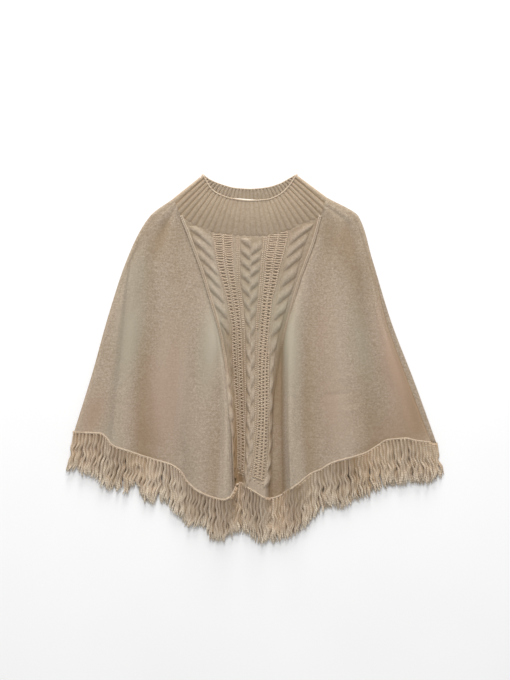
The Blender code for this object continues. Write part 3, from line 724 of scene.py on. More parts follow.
# y of the creases between the twists, at the outer edge, and at y, how far they fall across the cable
LEFT_CREASES = (308, 279, 251, 219, 186, 150, 111, 71.5, 29.7, -15.4, -59.4, -98, -136, -174, -211, -245,
                -281)
LEFT_FALL = ((-250, 9), (-136, 11), (-46, 13), (0, 16), (80, 24), (125, 31), (196, 41), (250, 37), (300, 36))
RIGHT_CREASES = (310, 281.6, 249.7, 217.8, 178.2, 138.6, 101.2, 61.6, 19.8, -24.2, -68.2, -112, -156, -198,
                 -235.4, -275, -315)
RIGHT_FALL = ((-300, 14), (-200, 12), (-46, 11), (50, 15), (108, 21), (185, 27), (250, 33), (300, 30))
MIDDLE_LEFT_CREASES = (269, 239.8, 215.6, 191.4, 163.9, 133.1, 101.2, 66, 28.6, -8.8, -46.2, -83.6, -121,
                       -158.4, -195.8, -233.2, -270.6, -308)
MIDDLE_RIGHT_CREASES = (254, 226.6, 203.5, 178.2, 148.5, 116.6, 83.6, 46.2, 8.8, -28.6, -66, -103.4, -140.8,
                        -178.2, -215.6, -253, -288.2, -320)
MIDDLE_LEFT_FALL = ((-300, 15), (50, 17), (231, 18))
MIDDLE_RIGHT_FALL = ((-300, 14), (50, 16), (231, 15))


def x_on(line, y):
    """x of a line down the panel, at y."""
    xs, ys = np.asarray(line, float)[::-1].T
    y = np.clip(y, ys[0], ys[-1])
    return smooth(ys, xs, y.reshape(-1)).reshape(y.shape)


def value_at(pairs, y):
    places, values = np.asarray(pairs, float).T
    return np.interp(y, places, values)


def ladder_depth(x, y):
    """How deep the ladders' channels are at x, y."""
    depth = np.zeros(np.shape(x))
    for line in LADDERS:
        top, bottom = line[0][1] - 1, line[-1][1]
        across = (x - x_on(line, y)) / value_at(LADDER_HALF, y)
        inside = part_way(y, top, top - 4) * part_way(y, bottom, bottom + 30)
        depth = np.maximum(depth, np.clip(1.25 - np.abs(across) ** 3, 0, 1) * inside)
    return LADDER_DEPTH * depth


def add_cable_panel():
    grid = cloth.front(even_columns(LEFT_BORDER, RIGHT_BORDER, 120, 0.3), np.linspace(0, 1, 200))
    x, y = grid[:, :, 0], grid[:, :, 1]
    normals = normals_of(grid)
    depth = ladder_depth(x, y)
    room = np.clip(grid[:, :, 2] - PANEL_FLOOR, 0, None)
    sunk = grid - normals * np.minimum(depth, room)[..., None]
    # painted shade: the panel is painted darker, and darker still in the ladders' channels
    fields = cloth.fields(x, y, PANEL_PAINTED_SHADE - LADDER_SHADE * depth / LADDER_DEPTH, PANEL_LEAST)
    panel = make_sheet("cable_front", sunk, normals, CLOTH, flat_uv(grid), fields=fields)
    finish_piece(panel, cable_ground, "front_cable_panel")
    return panel, sheet_area(grid)


BAND_ROOT = 1.0         # how far a band's sides reach down into the cloth


def make_band(name, grid, normals, relief, uv, fields):
    """A raised strip: a finely shaped upper face, closed by low sides and a plain underside."""
    rows, columns = grid.shape[:2]
    index = np.arange(rows * columns).reshape(rows, columns)
    left = index.size + np.arange(rows)
    around = np.column_stack((left, index, left + rows, left))

    def with_sides(values, lows):
        """Rows for the points of the upper face, then for its two low edges."""
        return np.concatenate((values.reshape(index.size, -1), lows[:, 0].reshape(rows, -1),
                               lows[:, -1].reshape(rows, -1)))

    points = with_sides(grid + normals * relief[..., None], grid - normals * BAND_ROOT)
    full = {key: with_sides(value, value) for key, value in fields.items()}
    caps = (around[0, 1:], around[-1, -2::-1])
    return make_mesh(name, points, grid_quads(around), with_sides(uv, uv), full, caps)


CREASE_FADE = 0.45     # how much shallower a crease is where it ends, at the inner edge
# Of the two outer cables, and of the middle one:
CABLE_HEIGHT, MIDDLE_HEIGHT = 4.2, 3.5
CABLE_WIDTH, MIDDLE_WIDTH = 22, 34          # a cable narrower than this is lower too
CABLE_CREASE, MIDDLE_CREASE = 0.25, 0.2     # share of its height that it keeps in the creases
CABLE_CONTRAST, MIDDLE_CONTRAST = 0.7, 0.6  # how much lighter its crests are painted than its creases: painted highlight and painted shade
CABLE_ROW = 1.15        # from row to row of a cable's mesh
CABLE_FOOT = 12         # a cable rises from its lower end over this length
MEAN_TWIST = 0.6        # a twist higher than this is painted lighter than the cloth, a lower one darker
EDGE_SHADE = 0.35       # painted shade: how much darker a cable is painted at its two edges
CABLE_LEAST = -0.55     # the darkest that the painted shade of the folds makes a cable
CABLE_SINK = 0.3


def twists(source, creases):
    """Heights of twists, 0 to 1: from the crease above to the next, a slow rise, a crest, a steeper fall.

    source is the y at which a crease through each point would start. creases are the ys where they do.
    """
    place = np.interp(-source, -np.asarray(creases, float), np.arange(len(creases), dtype=float))
    return np.sin(np.pi * (place - np.floor(place)) ** 1.5)


def strip(left_line, right_line, top, bottom, columns):
    """Plan points between two lines down the panel: x, y, shares across, and the width of each row."""
    y = np.linspace(top, bottom, int((top - bottom) / CABLE_ROW))[:, None]
    left, right = x_on(left_line, y), x_on(right_line, y)
    across = np.linspace(0, 1, columns)[None]
    return left + (right - left) * across, y + np.zeros_like(across), across, right - left


def cable_ends(y, top, bottom, start):
    """How a cable rises at its two ends, from 0 to 1: over the length start at its top."""
    return (part_way(y, top, top - start) * part_way(y, bottom, bottom + CABLE_FOOT)) ** 0.5


def cable_side(outward, flatness):
    """How a cable falls off from 1, at its middle, to 0 at its edges, where outward is 1."""
    return np.clip(1 - outward ** flatness, 0, 1) ** 0.6


def cable_band(name, x, y, side, relief, crest, uv):
    """A cable over the plan points x, y. side falls from 1 to 0 at its edges, where it lies low, in painted
    shade.
    """
    grid, normals = cloth.on(x, y, CLOTH / 2)
    fields = cloth.fields(x, y, crest - EDGE_SHADE * (1 - side), CABLE_LEAST)
    band = make_band(name, grid, normals, relief * side - CABLE_SINK, uv, fields)
    return finish_piece(band, cable_twist)


def add_cable(name, left_line, right_line, creases, fall, hand, top, bottom):
    """A rope of twists. hand is 1 where they fall to the right, -1 to the left."""
    x, y, across, width = strip(left_line, right_line, top, bottom, 30)
    run = across if hand > 0 else 1 - across
    eased = 0.45 * run + 0.55 * run ** 2 * (3 - 2 * run)
    twist = 1 - (1 - twists(y + value_at(fall, y) * eased, creases)) * (1 - CREASE_FADE * run ** 1.5)
    side = cable_side(np.abs(2 * across - 1), 3.2)
    height = CABLE_HEIGHT * np.clip(width / CABLE_WIDTH, 0.75, 1) * cable_ends(y, top, bottom, 9)
    # painted highlight on the twists' crests, painted shade in their creases and under the left fold
    crest = (twist - MEAN_TWIST) * CABLE_CONTRAST * side + soft_patches(VALLEY_SHADE, x, y)
    uv = np.stack((across * width, 0.6 * hand * across - y), axis=2)
    return cable_band(name, x, y, side, height * (CABLE_CREASE + (1 - CABLE_CREASE) * twist), crest, uv)


def add_middle_cable():
    """Two ropes side by side, mirrored, whose twists meet in points that look down."""
    top, bottom = 266, -283
    x, y, across, width = strip(MIDDLE_LEFT_EDGE, MIDDLE_RIGHT_EDGE, top, bottom, 37)
    outward = np.abs(2 * across - 1)
    left, right = (twists(y - value_at(fall, y) * outward ** 1.1, creases) for creases, fall in (
        (MIDDLE_LEFT_CREASES, MIDDLE_LEFT_FALL), (MIDDLE_RIGHT_CREASES, MIDDLE_RIGHT_FALL)))
    share = np.clip((across - 0.5) * 7 + 0.5, 0, 1)
    twist = left * (1 - share) + right * share
    side = cable_side(outward, 3.5)
    groove = 1 - 0.3 * np.exp(-(outward / 0.12) ** 2)
    height = MIDDLE_HEIGHT * np.clip(width / MIDDLE_WIDTH, 0.85, 1) * groove * cable_ends(y, top, bottom, 5)
    # painted highlight on the twists' crests and painted shade in their creases
    crest = (twist - MEAN_TWIST) * MIDDLE_CONTRAST * side
    uv = np.stack((across * width, 3 * outward - y), axis=2)
    relief = height * (MIDDLE_CREASE + (1 - MIDDLE_CREASE) * twist)
    return cable_band("cable_middle", x, y, side, relief, crest, uv)


def painted_yarn_shade(x, y):
    """Tone of the yarn at x, y: painted shade, deeper toward the hem, where the panel narrows, and under the
    left fold.
    """
    return -0.32 - 0.48 * part_way(y, 250, 60) + soft_patches(VALLEY_SHADE, x, y)


BAR_REACH = 1.15        # how far a bar runs to each side, in half widths of the ladder
BAR_SCATTER = (0.88, 1.12)      # least and most share of the usual distance between bars
BAR_THICKNESS = (0.85, 1.15)    # least and most share of the usual thickness
BAR_TILT = 0.7          # how far the ends of a bar rise and fall at random
BAR_SLOPE = 0.4         # how far the bars low on the panel fall to the right
BAR_SAG = 0.8
BAR_DIP = (0.2, 0.9)    # how far a bar's middle lies under the cloth's face, and how much deeper its ends
BAR_SWELL = 0.35        # how much thicker its ends are


def add_ladder_bars(number, line):
    """Yarns that cross a ladder's channel, with dark gaps between them."""
    places = [line[0][1] - 2.5]
    while places[-1] > line[-1][1] + 10:
        places.append(places[-1] - float(value_at(BAR_PITCH, places[-1])) * RNG.uniform(*BAR_SCATTER))
    y0 = np.array(places)[:, None]
    t = np.linspace(-1, 1, 7)[None]
    x = x_on(line, y0) + value_at(LADDER_HALF, y0) * BAR_REACH * t
    tilt = RNG.normal(0, BAR_TILT, (len(y0), 1)) - BAR_SLOPE * part_way(y0, 150, 50)
    y = y0 + tilt * t - BAR_SAG * (1 - t ** 2)
    share = value_at(BAR_SHARE, y0) * RNG.uniform(*BAR_THICKNESS, (len(y0), 1))
    thick = value_at(BAR_PITCH, y0) * share * (1 + BAR_SWELL * t ** 2)
    centres, ups = cloth.on(x, y, CLOTH / 2 - BAR_DIP[0] - BAR_DIP[1] * t ** 2 + np.zeros_like(x))
    bars = make_strands(f"ladder_{number}", centres, ups, thick, thick / 2, 7, painted_yarn_shade(x, y))
    return finish_piece(bars, bar_yarn_painted_shade)


CHAIN_SINK = 4.0        # how far a stitch that has shrunk away lies under the cloth's face
LADDER_RIB_GAP = 1.7    # from the edge of a ladder to the stitches beside it
BORDER_PAINTED_LIGHT = 0.8      # painted light: how much lighter the stitches of the panel's borders are painted
# Stitches: how far apart their legs start, how wide a leg is, how high it lies, and its height over its width
LADDER_STITCH = (0.9, 2.1, 0.1, 0.5)
MIDDLE_STITCH = (0.9, 2.0, 0.2, 0.5)
BORDER_STITCH = (2.2, 2.7, 0.8, 0.9)
# Stitches beside the middle cable: its edge, how far off it they lie at the top, and the y where they end
MIDDLE_RIBS = ((MIDDLE_LEFT_EDGE, -2.6, -270), (MIDDLE_RIGHT_EDGE, 2.6, -270),
               (MIDDLE_LEFT_EDGE, -7.0, 60), (MIDDLE_RIGHT_EDGE, 7.5, 60))


def add_chain(name, path, spread, size, lift, tall, pitch=4.6, least=1.0, fade=(-110, -20), light=0.0):
    """A column of knit stitches along a path on the cloth: slanting legs that meet in a line of Vs.

    A leg is size wide and tall times that high. Between the two heights of fade the stitches shrink, going
    down, to a share least of their size. light is painted light, added to the tone of the yarn.
    """
    travelled = lengths(path)
    count = int(travelled[-1] / pitch) - 1
    t = np.linspace(0, 1, 6)[None]
    at = np.arange(count)[:, None] * pitch + pitch * (t * 1.4 - 0.1)
    x, y = np.moveaxis(points_at(at, travelled, path), -1, 0)
    shrink = least + (1 - least) * part_way(y, *fade)
    base, normals = cloth.on(x, y)
    across = np.cross(normals, unit(np.gradient(base, axis=1)))
    rise = CLOTH / 2 + (lift + size * 0.3 * np.sin(np.pi * t)) * shrink - CHAIN_SINK * (1 - shrink)
    offset = spread * shrink * (1.15 - 0.85 * t)
    middle = base + normals * rise[..., None]
    centres = np.concatenate((middle - across * offset[..., None], middle + across * offset[..., None]))
    swell = size * (0.45 + 0.55 * np.sin(np.pi * np.clip(t, 0.04, 0.96)) ** 0.7) * shrink
    ups, swell, tones = (np.concatenate((part, part)) for part in (normals, swell, painted_yarn_shade(x, y) + light))
    chain = make_strands(name, centres, ups, swell, swell * tall, 5, tones)
    return finish_piece(chain, chain_yarn)


def panel_line(line, offset, top, bottom):
    """A path down the panel, beside one of its lines."""
    y = np.arange(top, bottom, -3.0)
    return np.stack((x_on(line, y) + offset(y), y), axis=1)


cable_panel, cable_area = add_cable_panel()
cable_details = [
    add_cable("cable_left", LEFT_CABLE_LEFT, LEFT_CABLE_RIGHT, LEFT_CREASES, LEFT_FALL, 1, 292, -262),
    add_cable("cable_right", RIGHT_CABLE_LEFT, RIGHT_CABLE_RIGHT, RIGHT_CREASES, RIGHT_FALL, -1, 298, -282),
    add_middle_cable(),
]
for number, ladder in enumerate(LADDERS):
    cable_details.append(add_ladder_bars(number, ladder))
    for hand in (-1, 1):
        rib = panel_line(ladder, lambda y: hand * (value_at(LADDER_HALF, y) + LADDER_RIB_GAP),
                         ladder[0][1] - 1, ladder[-1][1] + 4)
        cable_details.append(add_chain(f"ladder_rib_{number}_{(hand + 1) // 2}", rib, *LADDER_STITCH))
border_rows = np.linspace(0.002, 0.998, 300)
for side, line, fade in (("left", LEFT_BORDER, (-110, -20)), ("right", RIGHT_BORDER, (-50, 120))):
    border = cloth.front(np.array([line - 0.01, line, line + 0.01]), border_rows)[:, 1, :2]
    cable_details.append(add_chain(f"border_{side}", border, *BORDER_STITCH, 5.0, 0.3, fade, BORDER_PAINTED_LIGHT))
for number, (line, beside, foot) in enumerate(MIDDLE_RIBS):
    rib = panel_line(line, lambda y: beside * np.clip((y + 250) / 500, 0.5, 1), 268, foot)
    cable_details.append(add_chain(f"middle_rib_{number}", rib, *MIDDLE_STITCH))

# --- ribbed neck -------------------------------------------------------------------
RIB_COUNT = 30
COLLAR_LAP = 1.05       # the front's ribbing runs on past the seam, at 1, and dips under the panels there
LAP_START = 0.985
LAP_SINK = 1.7
RIB_LENGTH, RIB_WIDTH = 85, 300     # of the ribbing, as its stitches are laid out


def rib_wave(share):
    """1 on the middle of a rib, 0 in the furrow between two."""
    return np.abs(np.sin(np.pi * RIB_COUNT * share)) ** 0.75


def rib_depth(share, down, top, foot):
    """Depth of the furrows: deeper at the sides than the middle, and fading downward."""
    side = np.abs(2 * share - 1) ** 1.2
    return (top[0] + (top[1] - top[0]) * side) * (1 - down) + (foot[0] + (foot[1] - foot[0]) * side) * down


def add_ribbing(name, node, grid, normals, thickness, seam_at, v, depths, level, crest_level, shade, tint):
    """The ribs of a neck piece. Over level they stand out, and over crest_level they are painted lighter,
    below it darker.

    depths are the furrows' at the top and at the foot, each at the middle and at the sides. shade is the
    painted shade that is added, everywhere and at the sides.
    """
    share = seam_at[None] / SEAM_LENGTH + np.zeros((len(v), 1))
    depth = rib_depth(share, np.clip(v, 0, 1)[:, None], *depths)
    wave = rib_wave(share)
    uv = np.stack((share * RIB_WIDTH, v[:, None] * RIB_LENGTH + np.zeros_like(share)), axis=2)
    # painted highlight on the ribs, painted shade in their furrows and at the neck piece's sides
    crest = (wave - crest_level) * depth * 0.5 + shade[0] + shade[1] * np.abs(2 * share - 1)
    collar = make_sheet(name, grid, normals, thickness, uv, relief=depth * (wave - level),
                        fields={"crest": crest, "tint": np.full(crest.shape, tint)})
    return finish_piece(collar, rib_knit, node), grid, normals


def add_collar_front():
    seam_at = np.linspace(0, SEAM_LENGTH, RIB_COUNT * 12 + 1)
    v = np.linspace(0, COLLAR_LAP, 46)
    grid = collar_surface(seam_at, v, NECK_SEAM, NECK_EDGE, COLLAR_HEIGHT, COLLAR_CROWN)
    grid[:, :, 2] = FRONT_FOOT + (grid[:, :, 2] - FRONT_FOOT) * side_rounding(seam_at)[None]
    front, front_seam = front_surface(np.linspace(-1, LAST_LINE + 1, 3000), np.array([0.0, 0.01]))
    seam_z = np.interp(seam_at, front_seam, front[0, :, 2]) + SEAM_GAP * side_rounding(seam_at)
    foot_z = grid[np.searchsorted(v, 1.0), :, 2]
    grid[:, :, 2] += (seam_z - foot_z)[None] * v[:, None] ** 2
    grid[:, :, 2] -= LAP_SINK * part_way(v, LAP_START, COLLAR_LAP)[:, None]
    return add_ribbing("collar_front_knit", "collar_front", grid, normals_of(grid), RIB_CLOTH, seam_at, v,
                       depths=((0.85, 2.0), (0.7, 1.5)), level=0.75, crest_level=0.72, shade=(-0.12, -0.35),
                       tint=0.1)


def add_collar_back():
    seam_at = np.linspace(0, SEAM_LENGTH, RIB_COUNT * 10 + 1)
    v = np.linspace(0, 1, 30)
    grid = collar_surface(seam_at, v, NECK_SEAM_BACK, NECK_EDGE_BACK, BACK_TOP / 2, 0.0)
    normals = np.broadcast_to((0.0, 0.0, 1.0), grid.shape)
    return add_ribbing("collar_back_knit", "collar_back", grid, normals, BACK_TOP, seam_at, v,
                       depths=((1.5, 1.8), (1.2, 1.5)), level=0.7, crest_level=0.75, shade=(0, 0), tint=0.2)


collar_front, collar_grid, collar_normals = add_collar_front()
collar_back, collar_back_grid, collar_back_normals = add_collar_back()


def add_rim(name, path, ups, width, height, material, node=None, pitch=5.0):
    """A cord that swells at every stitch."""
    travelled = lengths(path)
    at = np.linspace(0, travelled[-1], int(travelled[-1]))
    even = points_at(at, travelled, path)
    up = unit(points_at(at, travelled, ups))
    swell = 0.86 + 0.14 * np.abs(np.sin(np.pi * at / pitch))
    rim = make_strands(name, even[None], up[None], (width * swell)[None], (height * swell)[None], 10)
    return finish_piece(rim, material, node)


neck_rims = [
    add_rim("neck_bind_off", collar_grid[0] + collar_normals[0] * 0.9, collar_normals[0], 4.0, 4.0,
            edging_yarn),
    add_rim("neck_bind_off_back", collar_back_grid[0] + (0, 0, 0.5), collar_back_normals[0], 3.4, 3.4,
            bar_yarn_painted_shade),
]

# --- neck label -----------------------------------------------------------------------
LABEL_SIZE = (84.0, 26.0)
LABEL_CENTRE = (-14.0, 338.0)
LABEL_TURN = -0.075
LABEL_CLOTH = 0.6
LABEL_LIFT = 1.6        # of its middle over the ribbing's flat
LABEL_WAVE = 0.45       # half of how far its middle stands up from its two sides
LABEL_TILT = 0.6        # how much higher its top edge lies than its bottom edge


def add_label():
    across, down = np.meshgrid(np.linspace(-0.5, 0.5, 36), np.linspace(0.5, -0.5, 12))
    x, y = across * LABEL_SIZE[0], down * LABEL_SIZE[1]
    plan_x = LABEL_CENTRE[0] + x * math.cos(LABEL_TURN) - y * math.sin(LABEL_TURN)
    plan_y = LABEL_CENTRE[1] + x * math.sin(LABEL_TURN) + y * math.cos(LABEL_TURN)
    z = BACK_TOP + LABEL_LIFT + LABEL_WAVE * np.cos(across * 2 * math.pi) + LABEL_TILT * down
    grid = np.stack((plan_x, plan_y, z), axis=2)
    label = make_sheet("neck_tape", grid, normals_of(grid), LABEL_CLOTH, np.stack((x, y), axis=2))
    return finish_piece(label, label_material(), "neck_label")


label = add_label()

# --- back -------------------------------------------------------------------------------
# The back lies on the surface: its creases are shallow hollows and swells of its upper and lower faces
BACK_CREASES = (
    (-250, 20, 78, 120, 26, 0.8), (-190, -150, 74, 70, 20, -0.6), (-110, 90, 84, 110, 22, 0.7),
    (-60, -120, 88, 110, 24, -0.8), (20, -60, 92, 150, 28, 0.9), (90, 80, 97, 110, 20, -0.6),
    (150, -110, 103, 90, 24, 0.8), (230, 10, 108, 110, 24, -0.7), (300, -110, 112, 60, 18, 0.6),
    (-20, 240, 4, 120, 14, -0.5), (120, 215, 160, 60, 12, 0.5), (-150, 225, 24, 60, 12, 0.5),
)
BACK_TINTS = (
    (-230, -20, 80, 140, 50, 0.6), (-60, 20, 86, 140, 50, -0.6), (120, 40, 94, 130, 40, 0.5),
    (230, -60, 100, 120, 50, -0.7),
)
BACK_LIFT = 0.6
BACK_SWELL = 0.8        # the most that a crease lifts or lowers the back
BACK_RIM = 6            # the creases fade over this many cells of the mesh, at its edges
BACK_CLOTH = 0.73       # share of the back's room that its cloth fills
# painted shade and light that follow the back's creases
BACK_SHADE = -0.25


def add_back():
    rows, columns = 90, 120
    v = np.linspace(0, 1, rows)
    share = np.linspace(0, 1, columns)
    left, _ = side_line(LINES[0][2], v, HEM_BACK)
    right, _ = side_line(BACK_RIGHT_SIDE, v, HEM_BACK)
    plan = left[:, None] + (right - left)[:, None] * share[None, :, None]
    plan += (plan_curve(NECK_SEAM_BACK, share) - plan[0])[None] * ((1 - v) ** 3)[:, None, None]
    to_hem = on_outline(HEM_BACK, plan[-1, :, 0]) - plan[-1]
    plan += to_hem[None] * v[:, None, None]
    x, y = plan[:, :, 0], plan[:, :, 1]
    swell = np.clip(soft_patches(BACK_CREASES, x, y, CREASE_BEND), -BACK_SWELL, BACK_SWELL)
    inset = np.minimum(np.minimum(share, 1 - share)[None] * (columns - 1), (1 - v)[:, None] * (rows - 1))
    swell *= part_way(inset, 0, BACK_RIM)
    grid = np.concatenate((plan, (BACK_TOP / 2 + BACK_LIFT + swell)[:, :, None]), axis=2)
    # painted shade and painted light along the creases
    fields = {"crest": BACK_SHADE * swell, "tint": soft_patches(BACK_TINTS, x, y)}
    back = make_sheet("back", grid, normals_of(grid), BACK_TOP * BACK_CLOTH, flat_uv(grid), fields=fields)
    finish_piece(back, plain_knit, "back_panel")
    return back, sheet_area(grid)


back, back_area = add_back()

# --- edging and fringe ---------------------------------------------------------------------
TASSEL_PITCH = 8.0
YARN = 4.3
UNDER_YARN = 5.5
YARNS = 3               # in a tassel
TUFT_BREAK = 0.24       # how often a tuft of tassels ends and the next starts
TUFT_PULL = 0.30        # how far the tips of a tuft draw together
ROOT_PAINTED_SHADE = 0.70       # painted shade: how much darker the yarns are painted where they leave the hem, under the edging
ROOT_REACH = 0.10       # share of their length over which this fades
TIP_PAINTED_LIGHT = 1.5          # painted light: how much lighter they are painted at their loose ends
TIP_START = 0.72        # share of their length where this starts
YARN_TONE = 0.12        # how much lighter they are all along
ROOT_SCATTER = 0.12     # of the tassels along the hem, in pitches
LEAN = (2.6, 0.9)       # how far the tips lie to a side: changing slowly along the hem, and of each tassel
TIP_SCATTER = (4.0, 2.5)            # how unevenly tufts and tassels end
WAVES = ((23.0, 1.1), (46.0, 2.0))  # length and half width of the waves along a tassel
BOUNCE = (33, 0.9)      # length and half height of its rises and dips
LUMPS = (9, 0.06)       # length of a yarn's thick places, and how much thicker it is there
YARN_SPREAD = 0.95      # from the middle of a tassel to the middle of a yarn
OPENING = (0.6, 2.6)    # the least and most that this grows toward the tip
TONES = (0.18, 0.16, 0.10)          # how much tassels, parts of the hem and yarns differ
UNDER_PAINTED_SHADE = -0.55      # painted shade: how much darker the hidden yarns are painted, in the gaps between the tassels
FRONT_CORD = EDGING_HEIGHT * 1.15                           # height of the front's cord of edging
BACK_CORD = (EDGING_WIDTH * 0.8, BACK_EDGING_HEIGHT * 0.9)  # width and height of the back's
EDGING_PITCH = 4.2
HEM_LINES = np.linspace(-0.7, LAST_LINE + 0.7, 1500)
HEM_FLOOR = 6.0         # the middle of the front's edging lies no lower
PAST_HEM = 500          # an x beyond either end of a hem
FRINGE_RNG = np.random.default_rng(7)
# Tone of the fringe along the hem: place across, tone
FRINGE_TONE = ((-420, -0.36), (-250, -0.18), (-200, 0.28), (-90, 0.28), (-50, -0.08), (60, -0.05), (110, 0.0),
               (220, -0.25), (420, -0.42))
# floor_z is the lowest height of a yarn's middle, tip_z its height at the tips. under adds hidden yarns
FRONT_FRINGE = {"pitch": TASSEL_PITCH, "floor_z": 5.8, "tip_z": 6.6, "shorter": 0, "rings": 20, "sides": 6,
                "under": True}
BACK_FRINGE = {"pitch": TASSEL_PITCH * 0.64, "floor_z": 2.9, "tip_z": 3.1, "shorter": 2.0, "rings": 15,
               "sides": 5, "under": False}


def hem_path():
    path = cloth.front(HEM_LINES, np.array(DOWN))[-1]
    path[:, 2] = np.maximum(path[:, 2], HEM_FLOOR)
    return path


def all_up(points):
    ups = np.zeros_like(points)
    ups[..., 2] = 1
    return ups


def add_edging(name, path, width, height, node):
    return add_rim(name, path, all_up(path), width, height, edging_yarn, node, EDGING_PITCH)


front_path = hem_path()
edging_front = add_edging("edging_front", front_path, EDGING_WIDTH, FRONT_CORD, "hem_edging_front")
back_x = np.linspace(-403, 399, 900)
back_z = np.full(len(back_x), BACK_EDGING_HEIGHT / 2 + SEAM_GAP)
back_path = np.stack((back_x, height_on(HEM_BACK, back_x), back_z), axis=1)
edging_back = add_edging("edging_back", back_path, *BACK_CORD, "hem_edging_back")


def drift(count, reach, size):
    """Random values about 0 that change slowly along a row of that many."""
    steps = FRINGE_RNG.normal(0, 1, count + 6 * reach)
    for _ in range(3):
        steps = np.convolve(steps, np.ones(2 * reach + 1) / (2 * reach + 1), mode="valid")
    row = steps[:count] - steps[:count].mean()
    return size * row / max(row.std(), 1e-6)


def tassel_tips(start, shorter):
    """Where tassels that start at some points of a hem end, (x, y). The tips of a tuft draw together."""
    count = len(start)
    tip_x = start[:, 0] * FRINGE_FLARE + (drift(count, 3, LEAN[0]) + FRINGE_RNG.normal(0, LEAN[1], count))
    tuft = np.cumsum(FRINGE_RNG.random(count) < TUFT_BREAK)
    sums = np.bincount(tuft, weights=tip_x)
    tip_x += TUFT_PULL * ((sums / np.maximum(np.bincount(tuft), 1))[tuft] - tip_x)
    reach = height_on(FRINGE_TIPS, np.clip(tip_x, FRINGE_TIPS[0][0], FRINGE_TIPS[-1][0])) + shorter
    uneven = FRINGE_RNG.normal(0, TIP_SCATTER[0], tuft[-1] + 1)[tuft]
    uneven += np.abs(FRINGE_RNG.normal(0, TIP_SCATTER[1], count)) - 1.5
    return tip_x[:, None], (reach + uneven)[:, None]


def fringe_strands(path, first_x, last_x, pitch, floor_z, tip_z, shorter, rings, under):
    """Tassels along part of a hem, from the edging to the line of the tips, each of a few loosely laid yarns.

    under adds a yarn below and between every two tassels, from the loops on the hidden face of the hem, in
    painted shade.
    """
    travelled = lengths(path)
    inside = (path[:, 0] >= first_x) & (path[:, 0] <= last_x)
    low, high = travelled[inside][0], travelled[inside][-1]
    count = max(int((high - low) / pitch), 8)

    def rand(least, most):
        return FRINGE_RNG.uniform(least, most, (count, 1))

    def normal(size):
        return FRINGE_RNG.normal(0, size, (count, 1))

    roots = low + (np.arange(count) + 0.5 + rand(-ROOT_SCATTER, ROOT_SCATTER)[:, 0]) * (high - low) / count
    start = points_at(roots, travelled, path)
    start_x, start_y, start_z = start.T[:, :, None]
    tip_x, tip_y = tassel_tips(start, shorter)
    t = np.linspace(0, 1, rings)[None]
    wavy = np.clip(t * 3, 0, 1)
    way = 2 * np.pi * t * np.abs(tip_y - start_y)
    x = start_x + (tip_x - start_x) * t ** 1.25
    y = start_y + (tip_y - start_y) * t
    for wave, size in WAVES:
        amount = rand(0.5, 1.2) * size
        phase = rand(0, 2.2) + drift(count, 3, 1.6)[:, None]
        x = x + amount * np.sin(way / wave + phase) * wavy
    z = start_z + (tip_z + rand(0.0, 1.4) - start_z) * (1 - (1 - t) ** 2.0)
    z = z + BOUNCE[1] * np.sin(way / BOUNCE[0] + rand(0, 6.28)) * wavy
    own = normal(TONES[0]) + drift(count, 4, TONES[1])[:, None] + value_at(FRINGE_TONE, start_x)
    turn = rand(0.15, 0.5) * FRINGE_RNG.choice((-1, 1), (count, 1))
    opening = part_way(t, 0.5, 1) ** 1.6
    taper = np.clip((1 - t) * 5, 0.04, 1) ** 0.55
    strands, sizes, tones = [], [], []
    for yarn in range(YARNS):
        angle = 2 * np.pi * (yarn / YARNS + turn * t) + rand(0, 0.8)
        spread = YARN_SPREAD + rand(*OPENING) * opening
        longer = normal(2.6) * t ** 2
        wisp = normal(1.1) * opening
        strands.append(np.stack((x + spread * np.cos(angle) + wisp, y - longer,
                                 np.maximum(z + spread * 0.55 * np.sin(angle), floor_z)), axis=2))
        lump = 1 + LUMPS[1] * np.sin(way / LUMPS[0] + rand(0, 6.28))
        sizes.append(YARN * (0.85 + 0.25 * FRINGE_RNG.random((count, 1))) * taper * lump)
        # painted light toward the tips and painted shade at the roots
        shade = TIP_PAINTED_LIGHT * part_way(t, TIP_START, 1) - ROOT_PAINTED_SHADE * np.exp(-t / ROOT_REACH)
        tones.append(own + normal(TONES[2]) + shade + 0.06 * t + YARN_TONE)
    if under:
        gap = (high - low) / count / 2
        strands.append(np.stack((x + gap, y + 7 * t, np.maximum(z - 1.8, floor_z - 1.2)), axis=2))
        sizes.append(UNDER_YARN * taper + np.zeros((count, 1)))
        # painted shade on the hidden yarns, deeper near the hem
        tones.append(own + UNDER_PAINTED_SHADE - 0.4 * ROOT_PAINTED_SHADE * np.exp(-t / 0.16))
    return np.concatenate(strands), np.concatenate(sizes), np.concatenate(tones)


def add_fringe(name, node, path, first_x, last_x, sides, **layout):
    centres, size, tones = fringe_strands(path, first_x, last_x, **layout)
    fringe = make_strands(name, centres, all_up(centres), size, size * 0.92, sides, tones)
    return finish_piece(fringe, fringe_yarn, node)


cuts = (-PAST_HEM, *np.interp((LEFT_BORDER, RIGHT_BORDER), HEM_LINES, front_path[:, 0]), PAST_HEM)
for part, first_x, last_x in zip(("left", "middle", "right"), cuts, cuts[1:]):
    add_fringe(f"fringe_{part}_yarn", f"fringe_{part}", front_path, first_x, last_x, **FRONT_FRINGE)
back_fringe = add_fringe("fringe_back_yarn", "fringe_back", back_path, -PAST_HEM, PAST_HEM, **BACK_FRINGE)

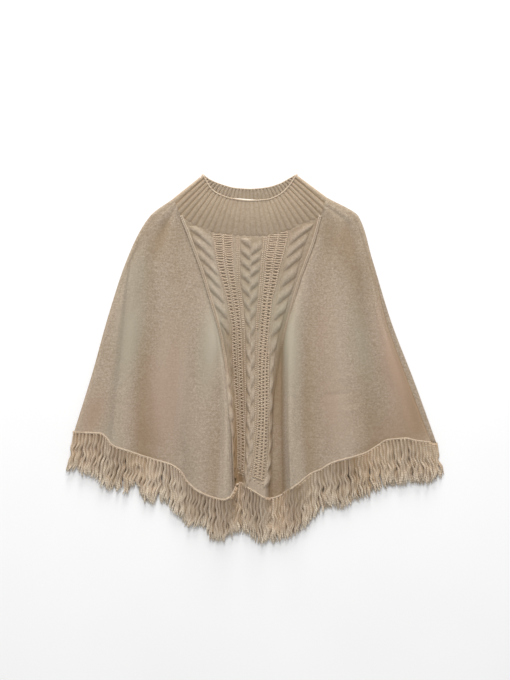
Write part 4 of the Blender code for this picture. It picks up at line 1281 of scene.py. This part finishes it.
# --- floor, light and camera ----------------------------------------------------------------
PIXEL = 2.2 * METRES                        # of the photograph, on the floor
FRAME_HEIGHT = 680 * PIXEL
VIEW_CENTRE = ((255 - 256) * PIXEL + CENTRING * METRES, (359 - 340) * PIXEL)
CAMERA_HEIGHT = 4.0
SENSOR = 36.0
FLOOR_SIZE = 60
# name, place, size, power
LAMPS = (("key", (-0.6, 4.4, 4.4), 2.0, 205), ("rake", (0.2, 5.0, 1.4), 1.8, 240))
WORLD_STRENGTH = 0.50


def add_stage():
    bpy.ops.mesh.primitive_plane_add(size=FLOOR_SIZE)
    floor = bpy.context.object
    floor.name = "floor"
    n = Nodes("floor")
    base = n.between(n.noise(3), 0.3, 0.7, (0.93, 0.93, 0.93), (0.95, 0.95, 0.95))
    floor.data.materials.append(n.finish(base, {"Roughness": 0.9, "Specular IOR Level": 0.1}))


def add_light(name, place, size, power):
    """A round lamp that faces the middle of the floor."""
    lamp = bpy.data.lights.new(name, "AREA")
    lamp.shape = "DISK"
    lamp.size = size
    lamp.energy = power
    holder = bpy.data.objects.new(name, lamp)
    holder.location = place
    x, y, z = place
    holder.rotation_euler = (math.atan2(math.hypot(x, y), z), 0, math.atan2(y, x) + math.pi / 2)
    bpy.context.scene.collection.objects.link(holder)


def add_camera():
    camera = bpy.data.cameras.new("camera")
    camera.sensor_width = SENSOR
    camera.lens = SENSOR * CAMERA_HEIGHT / FRAME_HEIGHT
    holder = bpy.data.objects.new("camera", camera)
    holder.location = (*VIEW_CENTRE, CAMERA_HEIGHT)
    bpy.context.scene.collection.objects.link(holder)
    bpy.context.scene.camera = holder


def add_world():
    world = bpy.data.worlds.new("studio")
    world.use_nodes = True
    inputs = world.node_tree.nodes["Background"].inputs
    inputs["Color"].default_value = (1, 1, 1, 1)
    inputs["Strength"].default_value = WORLD_STRENGTH
    bpy.context.scene.world = world


add_stage()
for lamp_settings in LAMPS:
    add_light(*lamp_settings)
add_world()
add_camera()
bpy.context.scene.view_settings.view_transform = "Standard"
